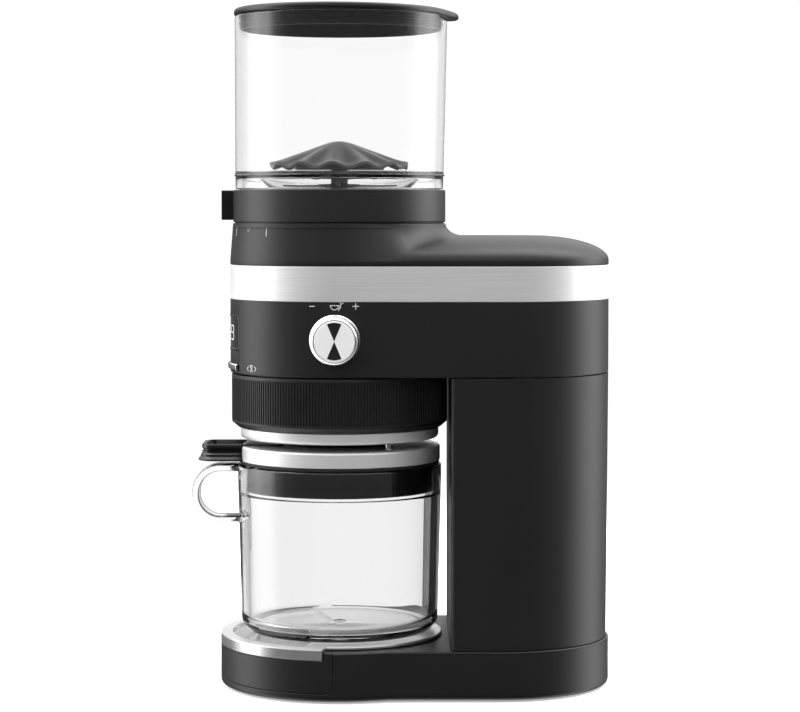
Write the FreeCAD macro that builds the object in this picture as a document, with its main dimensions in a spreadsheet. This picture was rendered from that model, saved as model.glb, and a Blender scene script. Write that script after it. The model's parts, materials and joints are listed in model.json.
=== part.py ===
"""Conical burr coffee grinder, as a parametric document of separate pieces.

Millimetres, +Z up. The origin lies on the surface the grinder stands on, on the vertical axis that the
hopper, the burrs, the dosing ring and the grounds jar share. The front is -Y, the motor column is at +Y and
the dose knob is on +X.
"""
import FreeCAD, Part
import math
import os
import re
import Sketcher
from FreeCAD import Placement, Rotation, Vector

# Driving dimensions: name, value in millimetres or degrees, what it is.
SIZES = {
    # Body plan: two half circles joined by straight sides.
    "body_radius": (60.5, "radius of the body's round ends"),
    "rear_centre": (88.8, "centre of the rear round end, behind the burr axis"),
    "wall": (2.6, "wall of the moulded housings"),
    "gap": (0.4, "room between a moving piece and its neighbour"),
    # Base and tray.
    "foot_height": (1.0, "how far the feet stand out of the base"),
    "foot_radius": (8.0, "rubber foot"),
    "foot_front": (-34.0, "front feet, behind the axis"),
    "foot_rear": (118.0, "rear feet, behind the axis"),
    "foot_side": (36.0, "feet, to either side"),
    "screw_shank": (1.6, "shank of a base screw"),
    "screw_head": (3.2, "head of a base screw"),
    "inlet_height": (14.0, "cord inlet, over the surface"),
    "inlet_radius": (6.4, "cord inlet, where it passes the wall"),
    "inlet_bore": (3.6, "bore of the cord inlet"),
    "base_radius": (60.9, "base, at its rear round end"),
    "base_nose": (66.2, "base, round front"),
    "base_top": (27.1, "top of the base"),
    "base_cavity": (24.4, "underside of the base's top wall"),
    "plate_top": (3.0, "upper face of the bottom plate"),
    "tray_low": (5.6, "lower edge of the tray front"),
    "tray_seam": (22.9, "joint between tray front and tray plate"),
    "tray_top": (29.4, "upper face of the tray plate"),
    "tray_disc": (57.0, "tray plate behind its lip"),
    "tray_inner": (60.0, "inside of the tray front"),
    "tray_half_angle": (88.0, "tray front, either side of straight ahead"),
    "lip_half_angle": (84.0, "bright lip, either side of straight ahead"),
    # Column.
    "column_front": (60.6, "flat front of the column"),
    "column_top": (173.6, "top of the column"),
    # Head.
    "head_low": (173.8, "bottom of the control housing"),
    "head_floor": (175.0, "upper face of the control housing's floor"),
    "band_low": (214.3, "lower edge of the steel band"),
    "band_high": (233.1, "upper edge of the steel band"),
    "shoulder_top": (249.1, "top of the head behind the hopper"),
    "shoulder_round": (13.0, "rounding of the head's upper edge"),
    "neck_radius": (59.5, "round neck that carries the grind collar"),
    "neck_top": (255.9, "top of the neck"),
    "deck_low": (253.4, "underside of the neck's deck"),
    "deck_hole": (38.0, "hole in the deck over the burrs"),
    # Dosing ring and chute.
    "ring_radius": (59.8, "ribbed dosing ring"),
    "ring_low": (143.6, "bottom of the dosing ring"),
    "ring_chamfer_top": (146.4, "where the ring's lower chamfer ends"),
    "ring_chamfer": (56.4, "radius at the bottom of that chamfer"),
    "ring_high": (173.0, "top of the dosing ring"),
    "ring_bore": (56.0, "bore of the dosing ring"),
    "ring_lip": (52.2, "inward lip that holds the ring up"),
    "drum_radius": (55.6, "fixed drum that the ring turns on"),
    "drum_low": (143.3, "bottom of the drum"),
    "drum_step": (146.2, "step over the ring's lip"),
    "trim_radius": (55.0, "steel ring around the chute"),
    "trim_low": (137.1, "bottom of the steel ring"),
    "trim_high": (143.2, "top of the steel ring"),
    "trim_skin": (1.5, "thickness of the steel ring's sheet"),
    "neck_outer": (29.0, "chute neck over the jar"),
    "neck_bore": (25.5, "bore of the chute neck"),
    "neck_low": (133.8, "mouth of the chute neck"),
    "stud_radius": (1.8, "guide stud over the jar lid"),
    "stud_side": (46.0, "guide studs, to either side"),
    "stud_back": (27.5, "guide studs, behind the axis"),
    # Jar and its lid.
    "jar_floor": (29.7, "underside of the jar"),
    "jar_bottom_radius": (54.5, "jar, at the bottom"),
    "jar_radius": (56.5, "jar, near the top"),
    "jar_step": (115.0, "where the jar becomes straight"),
    "jar_rim": (122.5, "top of the jar's rim"),
    "jar_wall": (4.2, "wall of the jar"),
    "jar_round": (7.5, "rounding of the jar's lower edge"),
    "handle_reach": (82.0, "handle, ahead of the axis"),
    "handle_low": (89.5, "underside of the handle"),
    "handle_bar": (4.3, "thickness of the handle's bar"),
    "handle_width": (14.0, "width of the handle's bar"),
    "handle_round": (14.5, "rounding of the handle's outer corners"),
    "plug_radius": (51.8, "lid plug inside the jar"),
    "plug_low": (108.1, "bottom of the lid plug"),
    "lid_seal_low": (122.9, "lid seal, over the rim"),
    "lid_band_low": (124.8, "lower edge of the lid's steel band"),
    "lid_top": (133.2, "top of the lid"),
    "lid_band_radius": (55.8, "lid's steel band"),
    "lid_core_radius": (53.2, "lid core inside the band"),
    "lid_skin": (0.8, "steel skin over the lid"),
    "root_rear": (31.0, "where the grip's root ends, ahead of the axis"),
    "fill_hole": (20.0, "hole in the lid under the chute"),
    "grip_reach": (78.0, "lid grip, ahead of the axis"),
    "grip_half_width": (15.5, "half width of the lid grip"),
    "grip_half_angle": (17.2, "cut in the band for the grip"),
    # Grind collar, hopper and hopper lid.
    "collar_radius": (58.8, "grind collar"),
    "collar_low": (256.4, "bottom of the collar"),
    "collar_high": (274.3, "top of the collar"),
    "collar_inner": (55.8, "inside of the collar"),
    "web_low": (258.0, "underside of the collar's web"),
    "web_high": (260.5, "top of the collar's web"),
    "web_hole": (22.5, "bean hole in the web"),
    "pointer_reach": (65.2, "pointer tab, ahead of the axis"),
    "pointer_half_width": (4.0, "half width of the pointer tab"),
    "hopper_low_radius": (57.5, "hopper, just over the collar"),
    "hopper_radius": (58.8, "hopper, at its rim"),
    "hopper_rim": (369.7, "top of the hopper"),
    "hopper_wall": (1.8, "wall of the hopper"),
    "hopper_floor": (282.8, "floor of the hopper"),
    "funnel_radius": (43.7, "where the floor turns into the funnel"),
    "throat": (24.0, "throat of the hopper"),
    "skirt_radius": (55.2, "hopper skirt inside the collar"),
    "guard_radius": (38.4, "bean guard"),
    "guard_top": (301.0, "tip of the bean guard"),
    "guard_rim": (286.5, "rim of the bean guard"),
    "guard_wall": (2.0, "thickness of the bean guard"),
    "guard_stem": (4.7, "stem of the bean guard"),
    "guard_hub": (11.8, "hub of the bean guard"),
    "cap_radius": (59.6, "hopper lid"),
    "cap_low": (370.1, "underside of the hopper lid"),
    "cap_high": (373.9, "top of the hopper lid"),
    "cap_plug": (55.6, "plug of the hopper lid"),
    "cap_plug_low": (361.9, "bottom of that plug"),
    "cap_seal": (56.5, "seal on the plug"),
    "tab_reach": (66.4, "rear thumb tab, behind the axis"),
    "tab_half_width": (15.0, "half width of the thumb tab"),
    # Controls.
    "knob_height": (194.0, "axis of the dose knob"),
    "knob_back": (-1.0, "axis of the dose knob, behind the burr axis"),
    "knob_radius": (12.6, "dose knob"),
    "knob_skirt": (13.6, "skirt of the dose knob"),
    "knob_length": (14.6, "how far the knob stands out"),
    "knob_face_radius": (10.9, "face plate of the knob"),
    "knob_shaft": (3.4, "knob shaft"),
    "window_low": (187.4, "lower edge of the display window"),
    "window_high": (204.6, "upper edge of the display window"),
    "window_half_angle": (24.0, "display window, either side of straight ahead"),
    "bezel_low": (186.0, "lower edge of the bezel"),
    "bezel_high": (206.0, "upper edge of the bezel"),
    "bezel_half_angle": (26.4, "bezel, either side of straight ahead"),
    "bar_low": (175.5, "lower edge of the start bar"),
    "bar_high": (179.2, "upper edge of the start bar"),
    "bar_radius": (61.9, "front of the start bar"),
    "bar_half_angle": (25.0, "start bar, either side of straight ahead"),
    # Drive: burr shaft, gears and motor.
    "shaft_radius": (5.0, "burr shaft"),
    "run": (0.05, "radial clearance of a shaft in its bearing"),
    "case_radius": (28.8, "gearbox case, round ends"),
    "case_inner": (26.6, "inside of the gearbox case"),
    "case_rear": (90.0, "rear centre of the gearbox case"),
    "case_low": (184.0, "underside of the gearbox case"),
    "case_floor": (187.0, "floor of the gearbox case"),
    "case_high": (213.0, "top of the gearbox case"),
    "cover_high": (215.5, "top of the gearbox cover"),
    "gear_low": (201.0, "underside of the slow gears"),
    "gear_high": (211.0, "top of the slow gears"),
    "wheel_low": (190.0, "underside of the fast wheel"),
    "wheel_high": (198.0, "top of the fast wheel"),
    "slow_module": (1.25, "module of the slow gear train"),
    "fast_module": (1.0, "module of the motor pair"),
    "output_teeth": (38, "teeth of the gear on the burr shaft"),
    "idler_teeth": (32, "teeth of the idler"),
    "small_teeth": (14, "teeth of the compound gear's pinion"),
    "wheel_teeth": (50, "teeth of the compound gear's wheel"),
    "motor_teeth": (12, "teeth of the motor pinion"),
    "gear_pin": (4.0, "fixed gear pins"),
    "idler_axis": (43.75, "idler, behind the burr axis"),
    "compound_axis": (72.5, "compound gear, behind the burr axis"),
    "motor_axis": (103.5, "motor, behind the burr axis"),
    "motor_radius": (34.0, "motor can"),
    "motor_low": (104.0, "open end of the motor can"),
    "cap_end_low": (98.0, "lower face of the motor end cap"),
    "rotor_radius": (4.0, "rotor shaft"),
    "fan_radius": (28.0, "cooling fan"),
    "bearing_radius": (13.0, "outside of a shaft bearing"),
    "bearing_width": (8.0, "width of a shaft bearing"),
    # Grinding chamber and burrs.
    "chamber_low": (223.5, "underside of the grinding chamber"),
    "chamber_floor": (226.5, "floor of the grinding chamber"),
    "chamber_inner": (40.5, "inside of the sweep space"),
    "chamber_radius": (43.0, "outside of the sweep space"),
    "thread_bore": (31.6, "threaded bore for the burr carrier"),
    "carrier_radius": (31.2, "burr carrier"),
    "outer_burr_radius": (25.0, "outside of the ring burr"),
    "carrier_low": (238.5, "bottom of the burr carrier"),
    "carrier_high": (255.0, "top of the burr carrier"),
    "pin_circle": (28.1, "driving pins, from the axis"),
    "pin_radius": (1.8, "driving pin between carrier and collar"),
    "cone_low": (238.0, "bottom of the cone burr"),
    "cone_high": (258.0, "top of the cone burr"),
    "cone_radius": (19.2, "widest part of the cone burr"),
    "chute_front": (41.5, "front of the chute, ahead of the axis"),
    "chute_back": (29.3, "back of the chute, ahead of the axis"),
    "chute_half_width": (10.5, "half width of the chute"),
    "chute_wall": (1.5, "wall of the chute"),
}

doc = FreeCAD.newDocument("burr_coffee_grinder")
sheet = doc.addObject("Spreadsheet::Sheet", "Sizes")
for row, (alias, (number, meaning)) in enumerate(SIZES.items(), start=1):
    sheet.set(f"A{row}", alias)
    sheet.set(f"B{row}", str(number))
    sheet.set(f"C{row}", meaning)
    sheet.setAlias(f"B{row}", alias)
doc.recompute()

pieces = []


# ---------------------------------------------------------------- expressions

def bound(expression):
    """The expression with each size pointed at its cell in the sheet."""
    return re.sub(r"[a-z][a-z_]*", lambda word: f"Sizes.{word.group()}" if word.group() in SIZES
                  else word.group(), expression)


def value(expression):
    """What the expression comes to now."""
    return float(sheet.evalExpression(expression))


def bind(thing, field, expression):
    """Tie a property to an expression, or set it where the expression is a plain number."""
    if bound(expression) == expression:
        target = thing
        *path, last = field.split(".")
        if path:
            raise ValueError(f"{field} needs a size from the sheet")
        setattr(target, last, value(expression))
    else:
        thing.setExpression(field, bound(expression))


# ---------------------------------------------------------------- sketch outlines

def fix(sketch, kind, *where):
    """Add a dimension whose last argument is its expression."""
    expression = where[-1]
    number = sketch.addConstraint(Sketcher.Constraint(kind, *where[:-1], value(expression)))
    if bound(expression) != expression:
        sketch.setExpression(f"Constraints[{number}]", bound(expression))


def join(sketch, kind, *where):
    """Add a constraint that has no dimension."""
    sketch.addConstraint(Sketcher.Constraint(kind, *where))


def pin_point(sketch, curve, end, across, up):
    """Place a point from the sketch origin."""
    for kind, axis, distance in (("DistanceX", -2, across), ("DistanceY", -1, up)):
        if distance == "0":
            join(sketch, "PointOnObject", curve, end, axis)
        else:
            fix(sketch, kind, -1, 1, curve, end, distance)


def circle(radius, across="0", up="0"):
    """A full circle."""
    def draw(sketch):
        middle = Vector(value(across), value(up), 0)
        curve = sketch.addGeometry(Part.Circle(middle, Vector(0, 0, 1), value(radius)))
        pin_point(sketch, curve, 3, across, up)
        fix(sketch, "Radius", curve, radius)
    return draw


def outline(*corners):
    """A closed outline of straight sides; a corner is (across, up) or (across, up, rounding)."""
    def draw(sketch):
        spots = [Vector(value(corner[0]), value(corner[1]), 0) for corner in corners]
        count = len(spots)
        arrive = []
        leave = []
        for i, corner in enumerate(corners):
            inward = (spots[i] - spots[i - 1]).normalize()
            outward = (spots[(i + 1) % count] - spots[i]).normalize()
            rounding = value(corner[2]) if len(corner) == 3 else 0
            reach = rounding * math.tan(inward.getAngle(outward) / 2)
            arrive.append(spots[i] - inward * reach)
            leave.append(spots[i] + outward * reach)
        sides = [sketch.addGeometry(Part.LineSegment(leave[i], arrive[(i + 1) % count]))
                 for i in range(count)]
        for i, corner in enumerate(corners):
            before, after = sides[i - 1], sides[i]
            if len(corner) == 2:
                join(sketch, "Coincident", before, 2, after, 1)
                pin_point(sketch, after, 1, corner[0], corner[1])
                continue
            inward = (spots[i] - arrive[i]).normalize()
            outward = (leave[i] - spots[i]).normalize()
            turns_left = inward.cross(outward).z > 0
            bisector = (outward - inward).normalize()
            centre_distance = value(corner[2]) / math.cos(inward.getAngle(outward) / 2)
            middle = spots[i] + bisector * (centre_distance - value(corner[2]))
            arc = sketch.addGeometry(Part.Arc(arrive[i], middle, leave[i]))
            first, last = (1, 2) if turns_left else (2, 1)
            join(sketch, "Tangent", before, 2, arc, first)
            join(sketch, "Tangent", arc, last, after, 1)
            fix(sketch, "Radius", arc, corner[2])
            point = sketch.addGeometry(Part.Point(spots[i]), True)
            pin_point(sketch, point, 1, corner[0], corner[1])
            join(sketch, "PointOnObject", point, 1, before)
            join(sketch, "PointOnObject", point, 1, after)
    return draw


def rectangle(left, right, low, high):
    """A rectangle between two across values and two up values."""
    return outline((left, low), (right, low), (right, high), (left, high))


def stadium(radius, rear="rear_centre", front=None):
    """The body plan: round ends joined by straight sides, or a straight front where one is given."""
    def draw(sketch):
        size = value(radius)
        back = value(rear)
        nose = 0 if front is None else value(front)
        right = sketch.addGeometry(Part.LineSegment(Vector(size, nose, 0), Vector(size, back, 0)))
        behind = sketch.addGeometry(Part.Arc(Vector(size, back, 0), Vector(0, back + size, 0),
                                             Vector(-size, back, 0)))
        left = sketch.addGeometry(Part.LineSegment(Vector(-size, back, 0), Vector(-size, nose, 0)))
        join(sketch, "Tangent", right, 2, behind, 1)
        join(sketch, "Tangent", behind, 2, left, 1)
        join(sketch, "Vertical", right)
        pin_point(sketch, behind, 3, "0", rear)
        fix(sketch, "Radius", behind, radius)
        if front is None:
            ahead = sketch.addGeometry(Part.Arc(Vector(-size, 0, 0), Vector(0, -size, 0),
                                                Vector(size, 0, 0)))
            join(sketch, "Tangent", left, 2, ahead, 1)
            join(sketch, "Coincident", ahead, 2, right, 1)
            pin_point(sketch, ahead, 3, "0", "0")
        else:
            ahead = sketch.addGeometry(Part.LineSegment(Vector(-size, nose, 0), Vector(size, nose, 0)))
            join(sketch, "Coincident", left, 2, ahead, 1)
            join(sketch, "Coincident", ahead, 2, right, 1)
            join(sketch, "Horizontal", ahead)
            fix(sketch, "DistanceY", -1, 1, ahead, 1, front)
            join(sketch, "Vertical", left)
    return draw


# ---------------------------------------------------------------- pieces

class Piece:
    """One physical piece: a PartDesign body that gathers its features."""

    def __init__(self, label):
        self.label = label
        self.body = doc.addObject("PartDesign::Body", label)
        self.count = 0
        pieces.append(self.body)

    def sketch(self, draws, plane, offset="0"):
        """A sketch on one of the body's own origin planes, moved along its normal."""
        self.count += 1
        sketch = self.body.newObject("Sketcher::SketchObject", f"{self.label}_sketch_{self.count}")
        support = next(item for item in self.body.Origin.OriginFeatures if item.Role == plane)
        sketch.AttachmentSupport = (support, "")
        sketch.MapMode = "FlatFace"
        if offset != "0":
            sketch.setExpression("AttachmentOffset.Base.z", bound(offset))
        for draw in draws:
            draw(sketch)
        return sketch

    def feature(self, kind, sketch):
        """A feature on a sketch."""
        feature = self.body.newObject(f"PartDesign::{kind}", f"{self.label}_{kind.lower()}_{self.count}")
        feature.Profile = sketch
        sketch.Visibility = False
        return feature

    def pad(self, low, high, *draws, plane="XY_Plane"):
        """Material between two levels along the plane's normal."""
        feature = self.feature("Pad", self.sketch(draws, plane, low))
        bind(feature, "Length", f"({high}) - ({low})")
        return self

    def pocket(self, low, high, *draws, plane="XY_Plane"):
        """A cut between two levels: it goes down from the upper one, against the plane's normal."""
        feature = self.feature("Pocket", self.sketch(draws, plane, high))
        bind(feature, "Length", f"({high}) - ({low})")
        return self

    def turn(self, *corners, kind="Revolution"):
        """A full turn about +Z of an outline of (radius, height) corners."""
        feature = self.feature(kind, self.sketch([outline(*corners)], "XZ_Plane"))
        feature.ReferenceAxis = (feature.Profile[0], ["V_Axis"])
        feature.Angle = 360
        return self

    def sector(self, half_angle, *corners, kind="Revolution"):
        """The same, but only so far either side of straight ahead; radii are given as -radius."""
        feature = self.feature(kind, self.sketch([outline(*corners)], "YZ_Plane"))
        feature.ReferenceAxis = (feature.Profile[0], ["V_Axis"])
        feature.Midplane = True
        bind(feature, "Angle", f"2 * {half_angle}")
        return self

    def repeat(self, times):
        """The last feature again, evenly round +Z."""
        pattern = self.body.newObject("PartDesign::PolarPattern", f"{self.label}_pattern_{self.count}")
        pattern.Originals = [self.body.Tip]
        axis = next(item for item in self.body.Origin.OriginFeatures if item.Role == "Z_Axis")
        pattern.Axis = (axis, [""])
        pattern.Angle = 360
        pattern.Occurrences = times
        self.body.Tip = pattern
        return self

    def round_edges(self, rounding, chosen):
        """Round the edges that a test picks from the shape so far."""
        doc.recompute()
        base = self.body.Tip
        names = [f"Edge{i}" for i, edge in enumerate(base.Shape.Edges, start=1) if chosen(edge)]
        fillet = self.body.newObject("PartDesign::Fillet", f"{self.label}_fillet_{self.count}")
        fillet.Base = (base, names)
        bind(fillet, "Radius", rounding)
        return self

    def place(self, across, back, up, rotation):
        """Where the body stands, and which way it is turned."""
        self.body.Placement = Placement(Vector(0, 0, 0), rotation)
        for field, distance in (("x", across), ("y", back), ("z", up)):
            if distance != "0":
                self.body.setExpression(f"Placement.Base.{field}", bound(distance))
        return self


def at_height(height):
    """A test for edges that lie flat at a height."""
    def chosen(edge):
        box = edge.BoundBox
        return abs(box.ZMin - value(height)) < 1e-3 and abs(box.ZMax - value(height)) < 1e-3
    return chosen


def solid_piece(label, shape, back="0", up="0"):
    """A piece whose shape is worked out here from the sheet's sizes."""
    piece = doc.addObject("Part::Feature", label)
    piece.Shape = shape
    piece.Placement = Placement(Vector(0, value(back), value(up)), Rotation())
    pieces.append(piece)


def box(name, left, right, front, back, low, high):
    """A Part box between named planes."""
    block = doc.addObject("Part::Box", name)
    for field, start, stop in (("Length", left, right), ("Width", front, back), ("Height", low, high)):
        bind(block, field, f"({stop}) - ({start})")
    for field, start in (("x", left), ("y", front), ("z", low)):
        block.setExpression(f"Placement.Base.{field}", bound(start))
    return block


def post(name, radius, low, high, across="0", back="0"):
    """An upright Part cylinder."""
    cylinder = doc.addObject("Part::Cylinder", name)
    bind(cylinder, "Radius", radius)
    bind(cylinder, "Height", f"({high}) - ({low})")
    for field, start in (("x", across), ("y", back), ("z", low)):
        if start != "0":
            cylinder.setExpression(f"Placement.Base.{field}", bound(start))
    return cylinder


def group(label, members):
    """Like, separate solids that share one node."""
    compound = doc.addObject("Part::Compound", label)
    compound.Links = members
    pieces.append(compound)


def fuse(name, members):
    """A Part fusion."""
    union = doc.addObject("Part::MultiFuse", name)
    union.Shapes = members
    return union


def gear(name, module, height, bore, first_tooth):
    """A spur gear that stands on z = 0: involute flanks at 25 degrees, one tooth centred at first_tooth."""
    teeth = round(value(f"{name}_teeth"))
    module = value(module)
    pressure = math.radians(25)
    backlash = 0.06
    pitch_radius = teeth * module / 2
    base_circle = pitch_radius * math.cos(pressure)
    tip = pitch_radius + module
    root = pitch_radius - 1.25 * module
    start = max(base_circle, root)
    half_tooth = math.pi / (2 * teeth) - backlash / pitch_radius

    def involute(angle):
        return math.tan(angle) - angle

    def flank_angle(radius):
        return half_tooth + involute(pressure) - involute(math.acos(min(1, base_circle / radius)))

    def spot(radius, angle):
        return Vector(radius * math.cos(angle), radius * math.sin(angle), 0)

    radii = [start + (tip - start) * step / 4 for step in range(5)]
    edges = []
    pitch = 2 * math.pi / teeth
    for tooth in range(teeth):
        middle = math.radians(first_tooth) + tooth * pitch
        rising = [spot(radius, middle - flank_angle(radius)) for radius in radii]
        falling = [spot(radius, middle + flank_angle(radius)) for radius in reversed(radii)]
        foot_in = spot(root, middle - flank_angle(start))
        foot_out = spot(root, middle + flank_angle(start))
        next_foot = spot(root, middle + pitch - flank_angle(start))
        if root < start:
            edges.append(Part.LineSegment(foot_in, rising[0]).toShape())
        for side in (rising, falling):
            curve = Part.BSplineCurve()
            curve.interpolate(side)
            edges.append(curve.toShape())
            if side is rising:
                edges.append(Part.Arc(rising[-1], spot(tip, middle), falling[0]).toShape())
        if root < start:
            edges.append(Part.LineSegment(falling[-1], foot_out).toShape())
        edges.append(Part.Arc(foot_out, spot(root, middle + pitch / 2), next_foot).toShape())
    face = Part.Face(Part.Wire(edges))
    solid = face.extrude(Vector(0, 0, value(height)))
    return solid.cut(Part.makeCylinder(value(bore), value(height)))


def half_pitch(name):
    """Half the angle from one tooth to the next."""
    return 180 / value(f"{name}_teeth")


# ---------------------------------------------------------------- base and tray

base = Piece("base_shell")
base.pad("foot_height", "base_top", stadium("base_radius"))
base.pad("foot_height", "base_top", circle("base_nose"))
base.pocket("foot_height", "base_cavity", stadium("base_radius - wall", rear="rear_centre"))
# The tray front fills this step round the nose.
base.sector("tray_half_angle + 0.2",
            ("-base_nose - 1", "tray_low - 0.2"), ("-tray_inner + gap", "tray_low - 0.2"),
            ("-tray_inner + gap", "base_top + 1"), ("-base_nose - 1", "base_top + 1"), kind="Groove")
# Wires rise into the column here, and the cord comes in through the rear wall.
base.pocket("base_cavity", "base_top", rectangle("-20", "20", "column_front + 12", "column_front + 62"))
base.pocket("-body_radius - rear_centre - 10", "-body_radius - rear_centre + 10",
            circle("inlet_radius + 0.1", "0", "inlet_height"), plane="XZ_Plane")

plate = Piece("base_plate")
plate.pad("foot_height", "plate_top", stadium("base_radius - wall - gap"))

# Four feet at the corners, and a fifth under the jar that takes the push of a hand on the hopper.
group("rubber_feet", [
    post(f"foot_{number}", "foot_radius", "0", "foot_height", side, back)
    for number, (side, back) in enumerate((("0", "0"), ("foot_side", "foot_front"), ("-foot_side", "foot_front"),
                                           ("foot_side", "foot_rear"), ("-foot_side", "foot_rear")))])

screws = []
for number, (side, back) in enumerate((("foot_side + 12", "foot_front + 30"),
                                       ("-foot_side - 12", "foot_front + 30"),
                                       ("foot_side + 12", "foot_rear - 20"),
                                       ("-foot_side - 12", "foot_rear - 20"))):
    screws.append(fuse(f"screw_{number}", [
        post(f"screw_shank_{number}", "screw_shank", "plate_top", "base_cavity", side, back),
        post(f"screw_head_{number}", "screw_head", "plate_top", "plate_top + 2", side, back)]))
group("base_screws", screws)

inlet = Piece("cord_inlet")
inlet.turn(("inlet_bore", "gap"), ("inlet_radius", "gap"), ("inlet_radius", "wall + 0.8"),
           ("inlet_radius + 2.6", "wall + 0.8"), ("inlet_radius + 2.6", "wall + 3"),
           ("inlet_radius - 0.9", "wall + 9"), ("inlet_bore", "wall + 9"))
inlet.place("0", "base_radius + rear_centre", "inlet_height", Rotation(Vector(1, 0, 0), 90))

tray = Piece("tray_plate")
tray.turn(("0", "base_top + 0.2"), ("tray_disc", "base_top + 0.2"), ("tray_disc", "tray_top", "0.6"),
          ("0", "tray_top"))
tray.sector("lip_half_angle",
            ("-base_nose", "tray_seam + 0.2"), ("-tray_inner", "tray_seam + 0.2"),
            ("-tray_inner", "base_top + 0.2"), ("-tray_disc + 8", "base_top + 0.2"),
            ("-tray_disc + 8", "tray_top"), ("-base_nose", "tray_top", "0.8"))

front = Piece("tray_front")
front.sector("tray_half_angle",
             ("-base_nose", "tray_low", "1.5"), ("-tray_inner", "tray_low"),
             ("-tray_inner", "base_top"), ("-base_nose", "base_top"))
front.sector("lip_half_angle + 0.2",
             ("-base_nose - 1", "tray_seam"), ("-tray_inner + 1", "tray_seam"),
             ("-tray_inner + 1", "base_top + 1"), ("-base_nose - 1", "base_top + 1"), kind="Groove")

# ---------------------------------------------------------------- column and head

column = Piece("column_shell")
column.pad("base_top", "column_top", stadium("body_radius - 0.5", front="column_front"),
           stadium("body_radius - wall - 0.5", front="column_front + wall"))

housing = Piece("control_housing")
housing.pad("head_low", "band_low", stadium("body_radius"))
housing.pocket("head_floor", "band_low", stadium("body_radius - wall"))
housing.pocket("head_low", "head_floor", circle("motor_radius + 1.5", "0", "motor_axis"))
housing.pocket("head_low", "head_floor", rectangle("-chute_half_width - gap", "chute_half_width + gap",
                                                   "-chute_front - gap", "-chute_back + gap"))
housing.pocket("0", "body_radius + 1", circle("knob_shaft + 2.2", "knob_back", "knob_height"),
               plane="YZ_Plane")
for low, high, reach in (("bezel_low - 0.1", "bezel_high + 0.1", "bezel_half_angle + 0.1"),
                         ("bar_low - 0.4", "bar_high + 0.5", "bar_half_angle + 1.4")):
    housing.sector(reach, ("-body_radius - 1", low), ("-body_radius + wall + 1.6", low),
                   ("-body_radius + wall + 1.6", high), ("-body_radius - 1", high), kind="Groove")

band = Piece("steel_band")
band.pad("band_low", "band_high", stadium("body_radius"), stadium("body_radius - wall"))

top = Piece("top_housing")
top.pad("band_high", "shoulder_top", stadium("body_radius"))
top.round_edges("shoulder_round", at_height("shoulder_top"))
top.pad("band_high", "neck_top", circle("neck_radius"))
top.pocket("band_high", "shoulder_top - shoulder_round", stadium("body_radius - wall"))
top.pocket("band_high", "shoulder_top - wall", stadium("body_radius - shoulder_round"))
top.pocket("band_high", "deck_low", circle("neck_radius - wall"))
top.pocket("band_high", "neck_top", circle("deck_hole"))

# ---------------------------------------------------------------- display, start bar and boards

bezel = Piece("display_bezel")
bezel.sector("bezel_half_angle", ("-body_radius - 0.3", "bezel_low"), ("-body_radius + wall", "bezel_low"),
             ("-body_radius + wall", "bezel_high"), ("-body_radius - 0.3", "bezel_high"))
bezel.sector("window_half_angle + 0.2",
             ("-body_radius - 1", "window_low - 0.2"), ("-body_radius + wall + 1", "window_low - 0.2"),
             ("-body_radius + wall + 1", "window_high + 0.2"), ("-body_radius - 1", "window_high + 0.2"),
             kind="Groove")

window = Piece("display_window")
window.sector("window_half_angle", ("-body_radius", "window_low"), ("-body_radius + 1.4", "window_low"),
              ("-body_radius + 1.4", "window_high"), ("-body_radius", "window_high"))

bar = Piece("start_bar")
bar.sector("bar_half_angle", ("-bar_radius", "bar_low", "1"), ("-bar_radius + 3.6", "bar_low"),
           ("-bar_radius + 3.6", "bar_high"), ("-bar_radius", "bar_high", "1"))

for label, limits in {
        "display_board": ("-26", "26", "-51", "-49.4", "window_low - 6", "window_high + 4"),
        "start_switch": ("-6", "6", "-56", "-52", "head_floor", "bar_high"),
        "control_board": ("-38", "38", "case_rear - 26", "case_rear + 34", "cover_high + 4",
                          "cover_high + 5.6"),
        "power_board": ("-40", "40", "column_front + 5", "column_front + 6.6", "base_top + 6",
                        "base_top + 52"),
        "ring_encoder": ("-54", "-46", "-6", "6", "head_floor", "head_floor + 6")}.items():
    pieces.append(box(label, *limits))

knob = Piece("dose_knob")
knob.turn(("0", "-9"), ("knob_shaft", "-9"), ("knob_shaft", "gap"), ("knob_skirt", "gap"),
          ("knob_skirt", "3.2"), ("knob_radius", "4.2"), ("knob_radius", "knob_length", "1"),
          ("knob_face_radius", "knob_length"), ("knob_face_radius", "knob_length - 1"),
          ("0", "knob_length - 1"))
knob.place("body_radius", "knob_back", "knob_height", Rotation(Vector(0, 1, 0), 90))

face = Piece("knob_face")
face.turn(("0", "knob_length - 1"), ("knob_face_radius", "knob_length - 1"),
          ("knob_face_radius", "knob_length - 0.3"), ("0", "knob_length - 0.3"))
face.place("body_radius", "knob_back", "knob_height", Rotation(Vector(0, 1, 0), 90))

encoder = Piece("knob_encoder")
encoder.turn(("0", "-19"), ("8", "-19"), ("8", "-11"), ("knob_shaft + 1.6", "-11"),
             ("knob_shaft + 1.6", "-2"), ("knob_shaft + run", "-2"), ("knob_shaft + run", "-9.6"),
             ("0", "-9.6"))
encoder.place("body_radius", "knob_back", "knob_height", Rotation(Vector(0, 1, 0), 90))

# ---------------------------------------------------------------- dosing ring and chute

dosing = Piece("dose_ring")
dosing.turn(("ring_lip", "ring_low"), ("ring_chamfer", "ring_low"), ("ring_radius", "ring_chamfer_top"),
            ("ring_radius", "ring_high"), ("ring_bore", "ring_high"), ("ring_bore", "drum_step - gap"),
            ("ring_lip", "drum_step - gap"))

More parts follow.
